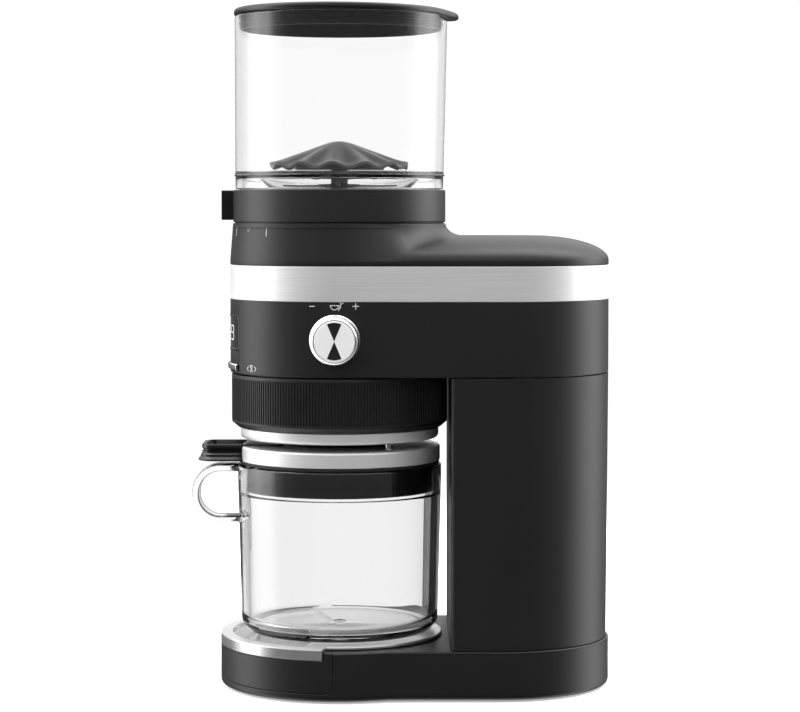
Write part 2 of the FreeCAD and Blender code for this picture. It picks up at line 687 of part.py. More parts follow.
drum = Piece("ring_drum")
drum.turn(("neck_bore", "drum_low"), ("ring_lip - 0.6", "drum_low"), ("ring_lip - 0.6", "drum_step"),
          ("drum_radius", "drum_step"), ("drum_radius", "column_top"), ("drum_radius - wall", "column_top"),
          ("drum_radius - wall", "drum_step + wall"), ("neck_bore + 5", "drum_step + wall"),
          ("drum_radius - wall - 2", "column_top - 4"), ("drum_radius - wall - 2", "column_top"),
          ("drum_radius - wall - 4", "column_top"), ("drum_radius - wall - 4", "column_top - 3"),
          ("neck_bore", "drum_low + 4"))

neck = Piece("chute_neck")
neck.turn(("neck_bore", "neck_low"), ("neck_outer", "neck_low"), ("neck_outer", "trim_high"),
          ("neck_bore", "trim_high"))

trim = Piece("chute_trim_ring")
trim.turn(("neck_outer", "trim_low"), ("trim_radius", "trim_low", "2.2"), ("trim_radius", "trim_high"),
          ("trim_radius - trim_skin", "trim_high"), ("trim_radius - trim_skin", "trim_low + trim_skin"),
          ("neck_outer", "trim_low + trim_skin"))

# Two small studs under the ring centre the jar's lid.
group("jar_guide_studs", [post(f"stud_{number}", "stud_radius", "neck_low + 0.1", "trim_low", side, "stud_back")
                          for number, side in enumerate(("stud_side", "-stud_side"))])

chute = Piece("chute_tube")
chute.pad("column_top", "chamber_low",
          rectangle("-chute_half_width", "chute_half_width", "-chute_front", "-chute_back"),
          rectangle("-chute_half_width + chute_wall", "chute_half_width - chute_wall",
                    "-chute_front + chute_wall", "-chute_back - chute_wall"))

# ---------------------------------------------------------------- gearbox

case = Piece("gearbox_case")
case.pad("case_low", "case_high", stadium("case_radius", rear="case_rear"))
case.pocket("case_floor", "case_high", stadium("case_inner", rear="case_rear"))
case.pad("case_floor", "case_floor + bearing_width", circle("bearing_radius + 2"))
case.pocket("case_floor", "case_floor + bearing_width", circle("bearing_radius"))
case.pocket("case_low", "case_floor", circle("gear_pin", "0", "compound_axis"))
case.pocket("case_low", "case_floor", circle("rotor_radius + 2", "0", "motor_axis"))

cover = Piece("gearbox_cover")
cover.pad("case_high", "cover_high", stadium("case_radius", rear="case_rear"))
cover.pad("case_high", "cover_high + 6", circle("bearing_radius + 2.5"))
cover.pocket("case_high", "cover_high + 6", circle("bearing_radius"))
cover.pocket("case_high", "cover_high", circle("gear_pin", "0", "idler_axis"))

# The idler's pin hangs from the cover, clear of the fast wheel that turns below it.
group("gear_pins", [post("idler_pin", "gear_pin", "wheel_high + 1.4", "cover_high", "0", "idler_axis"),
                    post("compound_pin", "gear_pin", "case_low", "case_high", "0", "compound_axis")])


def bearing(name, low):
    """A ball bearing, closed by its two shields."""
    ring = doc.addObject("Part::Cut", name)
    ring.Base = post(f"{name}_outside", "bearing_radius", low, f"{low} + bearing_width")
    ring.Tool = post(f"{name}_bore", "shaft_radius + run", low, f"{low} + bearing_width")
    return ring


group("shaft_bearings", [bearing("lower_bearing", "case_floor"), bearing("upper_bearing", "case_high")])

TOWARDS_REAR = 90
TOWARDS_FRONT = -90
# A tooth of each driving gear stands in a gap of the next, on the line through the shafts.
solid_piece("output_gear", gear("output", "slow_module", "gear_high - gear_low", "shaft_radius", TOWARDS_REAR),
            up="gear_low")
solid_piece("idler_gear", gear("idler", "slow_module", "gear_high - gear_low", "gear_pin + run",
                               TOWARDS_FRONT + half_pitch("idler")),
            back="idler_axis", up="gear_low")
wheel = gear("wheel", "fast_module", "wheel_high - wheel_low", "gear_pin + run", TOWARDS_REAR)
pinion = gear("small", "slow_module", "gear_high - wheel_high", "gear_pin + run", TOWARDS_FRONT)
pinion.translate(Vector(0, 0, value("wheel_high - wheel_low")))
solid_piece("compound_gear", wheel.fuse(pinion), back="compound_axis", up="wheel_low")
solid_piece("motor_pinion", gear("motor", "fast_module", "wheel_high - wheel_low", "rotor_radius",
                                 TOWARDS_FRONT + half_pitch("motor")),
            back="motor_axis", up="wheel_low")

# ---------------------------------------------------------------- motor

can = Piece("motor_can")
can.turn(("rotor_radius + run", "case_low - wall"), ("motor_radius - 2", "case_low - wall"),
         ("motor_radius - 2", "motor_low"), ("motor_radius", "motor_low"), ("motor_radius", "case_low", "2"),
         ("rotor_radius + run", "case_low"))
can.place("0", "motor_axis", "0", Rotation())

end_cap = Piece("motor_end_cap")
end_cap.turn(("rotor_radius + run", "cap_end_low"), ("motor_radius", "cap_end_low"),
             ("motor_radius", "motor_low"), ("rotor_radius + run", "motor_low"))
end_cap.place("0", "motor_axis", "0", Rotation())

shells = Piece("motor_magnets")
shells.turn(("motor_radius - 6", "motor_low + 12"), ("motor_radius - 2", "motor_low + 12"),
            ("motor_radius - 2", "case_low - 14"), ("motor_radius - 6", "case_low - 14"))
shells.place("0", "motor_axis", "0", Rotation())

rotor = Piece("rotor_shaft")
rotor.turn(("0", "cap_end_low - 18"), ("rotor_radius", "cap_end_low - 18"), ("rotor_radius", "wheel_high"),
           ("0", "wheel_high"))
rotor.place("0", "motor_axis", "0", Rotation())

armature = Piece("armature")
armature.turn(("rotor_radius", "motor_low + 8"), ("motor_radius - 7", "motor_low + 14"),
              ("motor_radius - 7", "case_low - 18"), ("rotor_radius", "case_low - 12"))
armature.place("0", "motor_axis", "0", Rotation())

fan = Piece("cooling_fan")
fan.pad("cap_end_low - 14", "cap_end_low - 12", circle("fan_radius"))
fan.pad("cap_end_low - 14", "cap_end_low - 3", circle("rotor_radius + 4"))
fan.pad("cap_end_low - 13", "cap_end_low - 3", rectangle("rotor_radius + 2", "fan_radius - 1", "-0.8", "0.8"))
fan.repeat(9)
fan.pocket("cap_end_low - 14", "cap_end_low - 3", circle("rotor_radius"))
fan.place("0", "motor_axis", "0", Rotation())

# ---------------------------------------------------------------- grinding chamber and burrs

chamber = Piece("grind_chamber")
chamber.turn(("shaft_radius + 1", "chamber_low"), ("chamber_radius", "chamber_low"),
             ("chamber_radius", "carrier_low + 1.5"), ("thread_bore + 4", "carrier_low + 1.5"),
             ("thread_bore + 4", "deck_low + 1.8"), ("thread_bore", "deck_low + 1.8"),
             ("thread_bore", "carrier_low - 0.8"), ("chamber_inner", "carrier_low - 0.8"),
             ("chamber_inner", "chamber_floor"), ("shaft_radius + 1", "chamber_floor"))
chamber.pocket("chamber_low", "chamber_floor",
               rectangle("-chute_half_width + chute_wall", "chute_half_width - chute_wall",
                         "-chute_front + chute_wall", "-chute_back - chute_wall"))

shaft = Piece("burr_shaft")
shaft.turn(("0", "case_floor + 0.5"), ("shaft_radius", "case_floor + 0.5"), ("shaft_radius", "cone_high"),
           ("shaft_radius - 1", "cone_high"), ("shaft_radius - 1", "cone_high + 7", "0.5"),
           ("0", "cone_high + 7"))

cone = Piece("inner_burr")
cone.turn(("shaft_radius", "cone_low"), ("cone_radius", "cone_low"), ("cone_radius - 0.6", "cone_low + 4"),
          ("cone_radius - 8", "cone_high"), ("shaft_radius", "cone_high"))
cone.pocket("cone_low - 1", "cone_high + 1",
            outline(("cone_radius - 1.6", "0"), ("cone_radius + 2", "-0.9"), ("cone_radius + 2", "0.9")))
cone.repeat(32)
cone.pocket("cone_low + 8", "cone_high + 1",
            outline(("cone_radius - 9", "-1"), ("cone_radius + 1", "-3.4"), ("cone_radius + 1", "3")))
cone.repeat(5)

nut = Piece("burr_nut")
nut.pad("cone_high", "cone_high + 4.5",
        outline(*[(f"7.2 * cos({angle})", f"7.2 * sin({angle})") for angle in range(30, 390, 60)]))
nut.pocket("cone_high", "cone_high + 4.5", circle("shaft_radius - 1"))

sweep = Piece("sweeper")
sweep.pad("chamber_floor + 0.6", "cone_low - 0.6", circle("shaft_radius + 5"))
sweep.pad("chamber_floor + 0.6", "chamber_floor + 7",
          rectangle("shaft_radius + 3", "chamber_inner - 1", "-1.2", "1.2"))
sweep.repeat(4)
sweep.pocket("chamber_floor + 0.6", "cone_low - 0.6", circle("shaft_radius"))

ring_burr = Piece("outer_burr")
ring_burr.turn(("cone_radius + 0.8", "carrier_low + 0.5"), ("outer_burr_radius", "carrier_low + 0.5"),
               ("outer_burr_radius", "carrier_high"), ("outer_burr_radius - 1.2", "carrier_high"),
               ("cone_radius + 0.8", "carrier_low + 5"))
ring_burr.pocket("carrier_low", "carrier_high + 1",
                 outline(("cone_radius - 2", "-2.2"), ("cone_radius + 2.6", "0"), ("cone_radius - 2", "2.2")))
ring_burr.repeat(24)

carrier = Piece("burr_carrier")
carrier.turn(("outer_burr_radius", "carrier_low"), ("carrier_radius", "carrier_low"),
             ("carrier_radius", "carrier_high"), ("outer_burr_radius", "carrier_high"))
# Three pins take the turn of the collar's web.
carrier.pad("carrier_high - 3", "web_high + 0.6", circle("pin_radius", "pin_circle"))
carrier.repeat(3)

# ---------------------------------------------------------------- grind collar and hopper

collar = Piece("grind_collar")
collar.turn(("web_hole", "web_low"), ("collar_inner", "web_low"), ("collar_inner", "collar_low"),
            ("collar_radius", "collar_low", "0.6"), ("collar_radius", "collar_high", "0.5"),
            ("collar_inner", "collar_high"), ("collar_inner", "web_high"), ("web_hole", "web_high"))
collar.pocket("web_low - 0.5", "web_high + 0.5", circle("pin_radius + gap", "pin_circle"))
collar.repeat(3)

pointer = Piece("collar_pointer")
pointer.pad("collar_low + 1.2", "collar_high - 0.3",
            rectangle("-pointer_half_width", "pointer_half_width", "-pointer_reach", "-collar_radius + 1"))
pointer.pocket("collar_low", "collar_high", circle("collar_radius"))

bean_hopper = Piece("hopper")
bean_hopper.turn(("throat", "web_high + 1"), ("throat + 2", "web_high + 1"), ("throat + 2", "web_high + 3.5"),
                 ("funnel_radius + 1.6", "hopper_floor - 2.2"), ("skirt_radius - 2", "hopper_floor - 2.2"),
                 ("skirt_radius - 2", "web_high + 2"), ("skirt_radius", "web_high + 2"),
                 ("skirt_radius", "collar_high + gap"), ("hopper_low_radius", "collar_high + gap"),
                 ("hopper_radius", "hopper_rim", "0.6"), ("hopper_radius - hopper_wall", "hopper_rim", "0.6"),
                 ("hopper_low_radius - hopper_wall", "hopper_floor", "1.2"),
                 ("funnel_radius", "hopper_floor"), ("throat", "web_high + 4"))

guard = Piece("bean_guard")
guard.turn(("0", "web_high + 12"), ("guard_stem", "web_high + 12"), ("guard_stem", "hopper_floor - 5.2"),
           ("guard_hub", "hopper_floor - 5.2"), ("guard_hub", "hopper_floor - 3"),
           ("guard_stem", "hopper_floor - 3"), ("guard_stem", "guard_top - guard_wall - 1.6"),
           ("guard_radius", "guard_rim - guard_wall"), ("guard_radius", "guard_rim", "0.8"),
           ("0", "guard_top"))
# Three thin arms rest on the funnel.
guard.pad("hopper_floor - 5", "hopper_floor - 3.4",
          rectangle("guard_stem - 1", "funnel_radius - 5.6", "-0.9", "0.9"))
guard.repeat(3)

cap = Piece("hopper_lid")
cap.turn(("0", "cap_low + 1.4"), ("cap_plug - 2", "cap_low + 1.4"), ("cap_plug - 2", "cap_plug_low"),
         ("cap_plug", "cap_plug_low", "0.9"), ("cap_plug", "cap_low"), ("cap_radius", "cap_low"),
         ("cap_radius", "cap_high", "0.8"), ("0", "cap_high"))
for low, high, root in (("cap_low", "cap_high", "cap_radius - 5"), ("cap_low - 1", "cap_low", "cap_radius")):
    cap.pad(low, high, outline(("-tab_half_width", root), ("tab_half_width", root),
                               ("tab_half_width", "tab_reach", "6"), ("-tab_half_width", "tab_reach", "6")))

seal = Piece("lid_seal")
seal.turn(("cap_plug", "cap_plug_low + 2.6"), ("cap_seal", "cap_plug_low + 3"),
          ("cap_seal", "cap_plug_low + 4.2"), ("cap_plug", "cap_plug_low + 4.6"))

# ---------------------------------------------------------------- jar and jar lid

jar = Piece("jar")
jar.turn(("0", "jar_floor"), ("jar_bottom_radius", "jar_floor", "jar_round"), ("jar_radius", "jar_step"),
         ("jar_radius", "jar_rim", "0.8"), ("jar_radius - jar_wall", "jar_rim", "0.8"),
         ("jar_radius - jar_wall", "plug_low - 1"), ("jar_bottom_radius - jar_wall", "jar_floor + jar_wall", "5"),
         ("0", "jar_floor + jar_wall"))
jar.pad("-handle_width / 2", "handle_width / 2",
        outline(("-handle_reach", "handle_low", "handle_round"), ("-jar_radius + 2", "handle_low"),
                ("-jar_radius + 2", "handle_low + handle_bar"),
                ("-handle_reach + handle_bar", "handle_low + handle_bar", "handle_round - handle_bar"),
                ("-handle_reach + handle_bar", "jar_rim - handle_bar", "handle_round - handle_bar"),
                ("-jar_radius + 2", "jar_rim - handle_bar"), ("-jar_radius + 2", "jar_rim"),
                ("-handle_reach", "jar_rim", "handle_round")), plane="YZ_Plane")

lid = Piece("jar_lid_core")
lid.turn(("plug_radius - 3", "plug_low"), ("plug_radius", "plug_low", "1"), ("plug_radius", "lid_band_low"),
         ("lid_core_radius", "lid_band_low"), ("lid_core_radius", "lid_top - lid_skin"),
         ("fill_hole", "lid_top - lid_skin"), ("fill_hole", "lid_top - lid_skin - 2.4"),
         ("plug_radius - 3", "lid_top - lid_skin - 2.4"))

lid_band = Piece("jar_lid_band")
lid_band.turn(("lid_core_radius", "lid_band_low"), ("lid_band_radius", "lid_band_low"),
              ("lid_band_radius", "lid_top", "1.8"), ("fill_hole + 2", "lid_top"),
              ("fill_hole + 2", "lid_top - lid_skin"), ("lid_core_radius", "lid_top - lid_skin"))
lid_band.sector("grip_half_angle", ("-lid_band_radius - 1", "lid_band_low - 1"),
                ("-lid_core_radius + 0.4", "lid_band_low - 1"), ("-lid_core_radius + 0.4", "lid_top + 1"),
                ("-lid_band_radius - 1", "lid_top + 1"), kind="Groove")

lid_seal = Piece("jar_lid_seal")
lid_seal.turn(("plug_radius", "lid_seal_low"), ("lid_band_radius - 0.4", "lid_seal_low"),
              ("lid_band_radius - 0.4", "lid_band_low"), ("plug_radius", "lid_band_low"))

grip = Piece("lid_grip")
grip.pad("lid_band_low", "lid_top + 0.8",
         outline(("-grip_half_width", "-lid_core_radius + 2"), ("-grip_half_width", "-grip_reach", "5"),
                 ("grip_half_width", "-grip_reach", "5"), ("grip_half_width", "-lid_core_radius + 2")))
grip.pocket("lid_band_low", "lid_top + 0.8", circle("lid_core_radius"))
grip.pocket("lid_band_low + 4", "lid_top + 0.8",
            outline(("-grip_half_width + 3", "-lid_core_radius - 5"), ("-grip_half_width + 3", "-grip_reach + 3"),
                    ("grip_half_width - 3", "-grip_reach + 3"), ("grip_half_width - 3", "-lid_core_radius - 5")))
# The root of the grip runs in over the lid.
grip.pad("lid_top", "lid_top + 0.9",
         rectangle("-grip_half_width", "grip_half_width", "-lid_core_radius - 1", "-root_rear"))

# ---------------------------------------------------------------- checks and files

doc.recompute()
for item in doc.Objects:
    if "Invalid" in item.State or "Error" in item.State:
        raise RuntimeError(f"{item.Name} failed: {item.State}")
    if item.TypeId in ("PartDesign::Pocket", "PartDesign::Groove"):
        if item.Shape.Volume >= item.BaseFeature.Shape.Volume - 0.1:
            raise RuntimeError(f"{item.Name} cuts nothing")
os.makedirs("parts", exist_ok=True)
for piece in pieces:
    if piece.Shape.isNull() or not piece.Shape.isValid() or piece.Shape.Volume <= 0:
        raise RuntimeError(f"{piece.Label} has no sound shape")
for piece in pieces:
    piece.Shape.exportStep(os.path.join("parts", f"{piece.Label}.step"))
print(f"{len(pieces)} pieces written")
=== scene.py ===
"""Looks of the burr coffee grinder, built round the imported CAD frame. Sizes are in millimetres until a
mesh is made."""
import json

import bmesh
import bpy
import numpy as np
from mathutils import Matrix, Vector


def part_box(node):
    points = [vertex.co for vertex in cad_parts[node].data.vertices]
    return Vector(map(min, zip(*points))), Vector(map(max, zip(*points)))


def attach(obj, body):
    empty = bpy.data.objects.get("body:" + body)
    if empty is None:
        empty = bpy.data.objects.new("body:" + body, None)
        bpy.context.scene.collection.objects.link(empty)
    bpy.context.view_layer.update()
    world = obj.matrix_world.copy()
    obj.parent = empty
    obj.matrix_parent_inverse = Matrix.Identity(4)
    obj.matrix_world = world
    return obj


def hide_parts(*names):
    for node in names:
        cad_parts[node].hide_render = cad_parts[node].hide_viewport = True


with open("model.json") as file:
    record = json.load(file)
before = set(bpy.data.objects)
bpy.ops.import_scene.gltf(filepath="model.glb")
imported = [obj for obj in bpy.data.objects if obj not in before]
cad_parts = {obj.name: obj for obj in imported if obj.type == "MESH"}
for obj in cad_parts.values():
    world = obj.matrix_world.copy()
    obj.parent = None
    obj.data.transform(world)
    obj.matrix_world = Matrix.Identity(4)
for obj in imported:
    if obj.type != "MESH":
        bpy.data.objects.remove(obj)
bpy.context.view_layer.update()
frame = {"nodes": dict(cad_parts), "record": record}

# ------------------------------------------------------------------ base
# The base is a moulded ABS tub. Its plan is the body's stadium joined to a wider round nose that carries the
# jar. A step round the nose takes the tray front, and the bottom edge is well rounded.
MILLIMETRE = 0.001


def span(node):
    """Lowest and highest corner of a CAD node, in millimetres."""
    low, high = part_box(node)
    return np.array(low) / MILLIMETRE, np.array(high) / MILLIMETRE


def rounded(corners, steps=5, closed=True):
    """Points of a polygon whose (across, up, rounding) corners are turned into arcs tangent to both sides."""
    corners = [tuple(corner) + (0,) * (3 - len(corner)) for corner in corners]
    points = []
    for i, (across, up, rounding) in enumerate(corners):
        spot = np.array([across, up], float)
        at_end = not closed and i in (0, len(corners) - 1)
        if rounding == 0 or at_end:
            points.append(spot[None])
            continue
        back = np.array(corners[i - 1][:2]) - spot
        ahead = np.array(corners[(i + 1) % len(corners)][:2]) - spot
        back, ahead = back / np.linalg.norm(back), ahead / np.linalg.norm(ahead)
        if np.linalg.norm(back + ahead) < 1e-6:
            points.append(spot[None])
            continue
        half = np.arccos(np.clip(back @ ahead, -1, 1)) / 2
        middle = spot + (back + ahead) / np.linalg.norm(back + ahead) * rounding / np.sin(half)
        start = spot + back * rounding / np.tan(half) - middle
        turn = np.pi - 2 * half
        turn = turn if start[1] * back[0] - start[0] * back[1] > 0 else -turn
        angle = np.arctan2(start[1], start[0]) + np.linspace(0, turn, steps + 1)
        points.append(middle + rounding * np.stack([np.cos(angle), np.sin(angle)], -1))
    return np.concatenate(points)


def arc_path(angle):
    """Centres on the hopper's axis, and outward directions at angles from straight ahead."""
    return np.zeros((len(angle), 2)), np.stack([np.sin(angle), -np.cos(angle)], -1)


def ring_path(count=160):
    """A full circle round the hopper's axis, from straight ahead."""
    return arc_path(np.linspace(0, 2 * np.pi, count, endpoint=False))


def off_front(path):
    """Degrees of a path's directions from straight ahead, to either side."""
    return np.degrees(np.arctan2(np.abs(path[1][:, 0]), -path[1][:, 1]))


def body_path(extra_angles=(), arc_count=72, side_count=14):
    """The body's plan: half circle, straight side, half circle, straight side, as centres and directions.
    Extra angles, in degrees from straight ahead, get lines of their own for openings."""
    front = np.concatenate([np.linspace(-90, 90, arc_count), np.ravel([[-a, a] for a in extra_angles])])
    front = np.radians(np.unique(np.round(front, 4)))
    rear = np.radians(np.linspace(90, 270, arc_count))
    side = np.linspace(0, REAR_CENTRE, side_count)[1:-1]
    zeros = np.zeros_like(side)
    centres = np.concatenate([np.zeros((len(front), 2)), np.stack([zeros, side], -1),
                              np.tile([0, REAR_CENTRE], (len(rear), 1)), np.stack([zeros, side[::-1]], -1)])
    directions = np.concatenate([arc_path(front)[1], np.tile([1, 0], (len(side), 1)),
                                 arc_path(rear)[1], np.tile([-1, 0], (len(side), 1))])
    return centres, directions


def swept(path, radius, height):
    """Carry a profile along a path: point = centre + radius * direction, at its height."""
    centres, directions = path
    radius, height = np.broadcast_arrays(radius, height)
    if radius.ndim == 1:
        radius = np.tile(radius, (len(centres), 1))
        height = np.tile(height, (len(centres), 1))
    flat = centres[:, None] + radius[..., None] * directions[:, None]
    return np.concatenate([flat, height[..., None]], -1)


def grid(points, loop=True, profile_loop=True, keep=None, caps=False):
    """Quads over a grid of points; keep drops cells, caps close the two ends of an open run."""
    rows, columns = points.shape[:2]
    index = np.arange(rows * columns).reshape(rows, columns)
    ahead = np.roll(index, -1, 0)
    quads = np.stack([index, ahead, np.roll(ahead, -1, 1), np.roll(index, -1, 1)], -1)
    quads = quads[:rows if loop else rows - 1, :columns if profile_loop else columns - 1]
    if keep is not None:
        quads = quads[keep[:quads.shape[0], :quads.shape[1]]]
    faces = quads.reshape(-1, 4).tolist()
    if caps:
        faces += [index[0].tolist(), index[-1, ::-1].tolist()]
    return points.reshape(-1, 3), faces


def turned(profile, count=160, **options):
    """A (radius, height) profile turned about the hopper's axis."""
    return grid(swept(ring_path(count), profile[:, 0], profile[:, 1]), **options)


def make(name, *grids, body, slot, finish, replaces=(), wall=0.0, inside_out=False, sharp=32, bevel=0.0):
    """One finished piece: its grids joined, doubles merged, faces turned outwards and edges sorted."""
    mesh = bpy.data.meshes.new(name)
    vertices = np.concatenate([points for points, _ in grids]) * MILLIMETRE
    start = 0
    faces = []
    for points, cells in grids:
        faces += [[start + corner for corner in cell] for cell in cells]
        start += len(points)
    mesh.from_pydata(vertices.tolist(), [], faces)
    work = bmesh.new()
    work.from_mesh(mesh)
    bmesh.ops.remove_doubles(work, verts=work.verts, dist=2e-7)
    bmesh.ops.dissolve_degenerate(work, edges=work.edges, dist=2e-7)
    bmesh.ops.recalc_face_normals(work, faces=work.faces)
    if inside_out:
        bmesh.ops.reverse_faces(work, faces=work.faces)
    work.to_mesh(mesh)
    work.free()
    piece = bpy.data.objects.new(name, mesh)
    bpy.context.scene.collection.objects.link(piece)
    if wall:
        solidify = piece.modifiers.new("wall", "SOLIDIFY")
        solidify.thickness = wall * MILLIMETRE
        solidify.offset = -1
    if bevel:
        soften = piece.modifiers.new("soft edges", "BEVEL")
        soften.width = bevel * MILLIMETRE
        soften.segments = 3
        soften.limit_method = "ANGLE"
    mesh.shade_smooth()
    mesh.set_sharp_from_angle(angle=np.radians(sharp))
    piece.modifiers.new("even shading", "WEIGHTED_NORMAL").keep_sharp = True
    mesh.materials.append(finish)
    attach(piece, body)
    if replaces:
        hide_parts(*replaces)
    return piece


class Wire:
    """An output socket; arithmetic on it adds Math nodes to its material."""

    def __init__(self, tree, socket):
        self.tree = tree
        self.socket = socket

    def math(self, operation, *operands):
        node = self.tree.nodes.new("ShaderNodeMath")
        node.operation = operation
        for slot, operand in zip(node.inputs, operands):
            if isinstance(operand, Wire):
                self.tree.links.new(operand.socket, slot)
            else:
                slot.default_value = operand
        return Wire(self.tree, node.outputs[0])

    def __add__(self, other):
        return self.math("ADD", self, other)

    __radd__ = __add__

    def __sub__(self, other):
        return self.math("SUBTRACT", self, other)

    def __rsub__(self, other):
        return self.math("SUBTRACT", other, self)

    def __mul__(self, other):
        return self.math("MULTIPLY", self, other)

    __rmul__ = __mul__

    def __lt__(self, other):
        return self.math("LESS_THAN", self, other)

    def __gt__(self, other):
        return self.math("GREATER_THAN", self, other)

    def __abs__(self):
        return self.math("ABSOLUTE", self)


class Nodes:
    """A node tree, with one method that adds any node."""

    def __init__(self, tree):
        self.tree = tree

    def plug(self, slot, number):
        if isinstance(number, Wire):
            self.tree.links.new(number.socket, slot)
        else:
            slot.default_value = number

    def node(self, kind, settings=None, output=0, **inputs):
        """Any node: settings and a ramp's (place, level) stops first, then its sockets."""
        node = self.tree.nodes.new(kind)
        settings = dict(settings or {})
        stops = settings.pop("stops", ())
        for place, level in stops[1:-1]:
            node.color_ramp.elements.new(place).color = grey(level)
        for end in (0, -1) if stops else ():
            stop = node.color_ramp.elements[end]
            stop.position, stop.color = stops[end][0], grey(stops[end][1])
        for field, setting in settings.items():
            setattr(node, field, setting)
        for socket, number in inputs.items():
            self.plug(node.inputs[socket.replace("_", " ")], number)
        return Wire(self.tree, node.outputs[output])

    def mix(self, factor, first, second, blend="MIX"):
        """A colour between two colours, or with another blend their sum or product."""
        mixer = self.tree.nodes.new("ShaderNodeMix")
        mixer.data_type = "RGBA"
        mixer.blend_type = blend
        for slot, number in ((0, factor), (6, first), (7, second)):
            self.plug(mixer.inputs[slot], number)
        return Wire(self.tree, mixer.outputs[2])


class Finish(Nodes):
    """A material: a Principled surface with plain values, and wires that vary some of its sockets."""

    def __init__(self, name, **plain):
        self.material = bpy.data.materials.new(name)
        self.material.use_nodes = True
        super().__init__(self.material.node_tree)
        self.surface = self.tree.nodes["Principled BSDF"]
        self.wire(**plain)

    def wire(self, **sockets):
        for socket, source in sockets.items():
            self.plug(self.surface.inputs[socket.replace("_", " ")], source)
        return self

    def place(self, scale=(1, 1, 1), location=(0, 0, 0)):
        """Object coordinates, scaled per axis."""
        where = self.node("ShaderNodeTexCoord", output="Object")
        return self.node("ShaderNodeMapping", Vector=where, Scale=scale, Location=location)

    def noise(self, scale, detail=2.0, stretch=(1, 1, 1)):
        """Noise between 0 and 1; scale is in cells per metre."""
        return self.node("ShaderNodeTexNoise", output="Fac", Vector=self.place(stretch), Scale=scale,
                         Detail=detail)

    def bump(self, height, depth, strength=1.0):
        """Relief of a depth in millimetres."""
        return self.wire(Normal=self.node("ShaderNodeBump", Height=height, Strength=strength,
                                          Distance=depth * MILLIMETRE))


def grey(level):
    return (level, level, level, 1.0)


def moulded(name, level, rough, grain_depth=0.012):
    """Fine spark-eroded plastic: close grain, and slow drifts in tone and gloss."""
    finish = Finish(name, Specular_IOR_Level=0.40)
    drift = finish.noise(18.0)
    grain = finish.noise(2600.0, 3.0)
    finish.wire(Base_Color=finish.mix(drift, grey(level * 0.85), grey(level * 1.15)),
                Roughness=drift * 0.06 + grain * 0.05 + (rough - 0.055))
    return finish.bump(grain, grain_depth).material


black_plastic = moulded("matt black plastic", 0.0045, 0.42)
band_low, band_high = span("steel_band")
body_radius = band_high[0]
REAR_CENTRE = band_high[1] - body_radius
base_low, base_high = span("base_shell")
BASE_RADIUS = base_high[1] - REAR_CENTRE
BASE_NOSE = base_high[0]
base_bottom, base_top = base_low[2], base_high[2]
front_bottom = span("tray_front")[0][2]
lip_low, lip_high = span("tray_plate")
SEAM_ANGLE = 88.0
SEAM_GAP = 0.3
STEP_DEPTH = 5.0
CORNER = 4.5
REAR_EDGE = 16.0
TINY = 1e-6


def nose_radius(path, inner, nose, softness=2.0):
    """Plan radius of the body joined to the round nose: a smooth maximum, measured from the spine."""
    centres, directions = path
    on_rear = centres[:, 1] > REAR_CENTRE - TINY
    reach = np.where(on_rear, 0, np.sqrt(np.maximum(nose ** 2 - centres[:, 1] ** 2, 0)))
    blended = np.minimum((inner + reach + np.sqrt((inner - reach) ** 2 + softness ** 2)) / 2, nose)
    return np.where(on_rear, inner, np.where(directions[:, 1] < -TINY, nose, blended))


def front_lower_edge(angle, limit, radius):
    """Lower edge of the tray front: level, then up a quarter circle at either end."""
    past = np.clip(np.radians(angle - limit) * radius + CORNER, 0, CORNER)
    return front_bottom + CORNER - np.sqrt(CORNER ** 2 - past ** 2)


def laid(path, rows):
    """Rows of (radius, height), each a number or one value for each line of the path, as points."""
    radii, heights = ([np.broadcast_to(value, len(path[0])) for value in side] for side in zip(*rows))
    return swept(path, np.stack(radii, -1), np.stack(heights, -1))


plan = body_path((SEAM_ANGLE, SEAM_ANGLE + 0.25, 86.9, 85.6, 84.6, 83.9), arc_count=90)
plan_radius = nose_radius(plan, BASE_RADIUS, BASE_NOSE)
angle = np.where(plan[0][:, 1] > 0, 100.0, off_front(plan))
in_step = (angle < SEAM_ANGLE + 0.1).astype(float)
edge = front_lower_edge(np.minimum(angle, SEAM_ANGLE), SEAM_ANGLE, BASE_NOSE) - SEAM_GAP
edge = np.where(in_step > 0, edge, REAR_EDGE)
foot = rounded([(30, base_bottom), (0, base_bottom, 2.4), (0, base_bottom + 4)], closed=False)[1:]
shoulder = rounded([(0, base_top - 2), (0, base_top, 0.9), (2.5, base_top)], closed=False)[1:]
step = ((0.0, edge - 0.4), (0.12, edge - 0.1), (0.4, edge), (STEP_DEPTH, edge), (STEP_DEPTH, base_top - 0.6))
rows = [(0, base_bottom)] + [(plan_radius - inset, height) for inset, height in foot]
rows += [(plan_radius - inset * in_step, height) for inset, height in step]
rows += [(plan_radius - inset - STEP_DEPTH * in_step, height) for inset, height in shoulder]
base = make("base_tub", grid(laid(plan, rows + [(0, base_top)]), profile_loop=False), body="housing",
            slot="matte_black", finish=black_plastic, replaces=["base_shell"])


def combined(piece, other, operation, sharp):
    """Join or cut a piece with another body, which is then dropped."""
    piece.modifiers.remove(piece.modifiers["even shading"])
    step = piece.modifiers.new("step", "BOOLEAN")
    step.operation = operation
    step.object = other
    bpy.context.view_layer.objects.active = piece
    with bpy.context.temp_override(object=piece, active_object=piece):
        bpy.ops.object.modifier_apply(modifier="step")
    bpy.data.objects.remove(other)
    piece.data.shade_smooth()
    piece.data.set_sharp_from_angle(angle=np.radians(sharp))


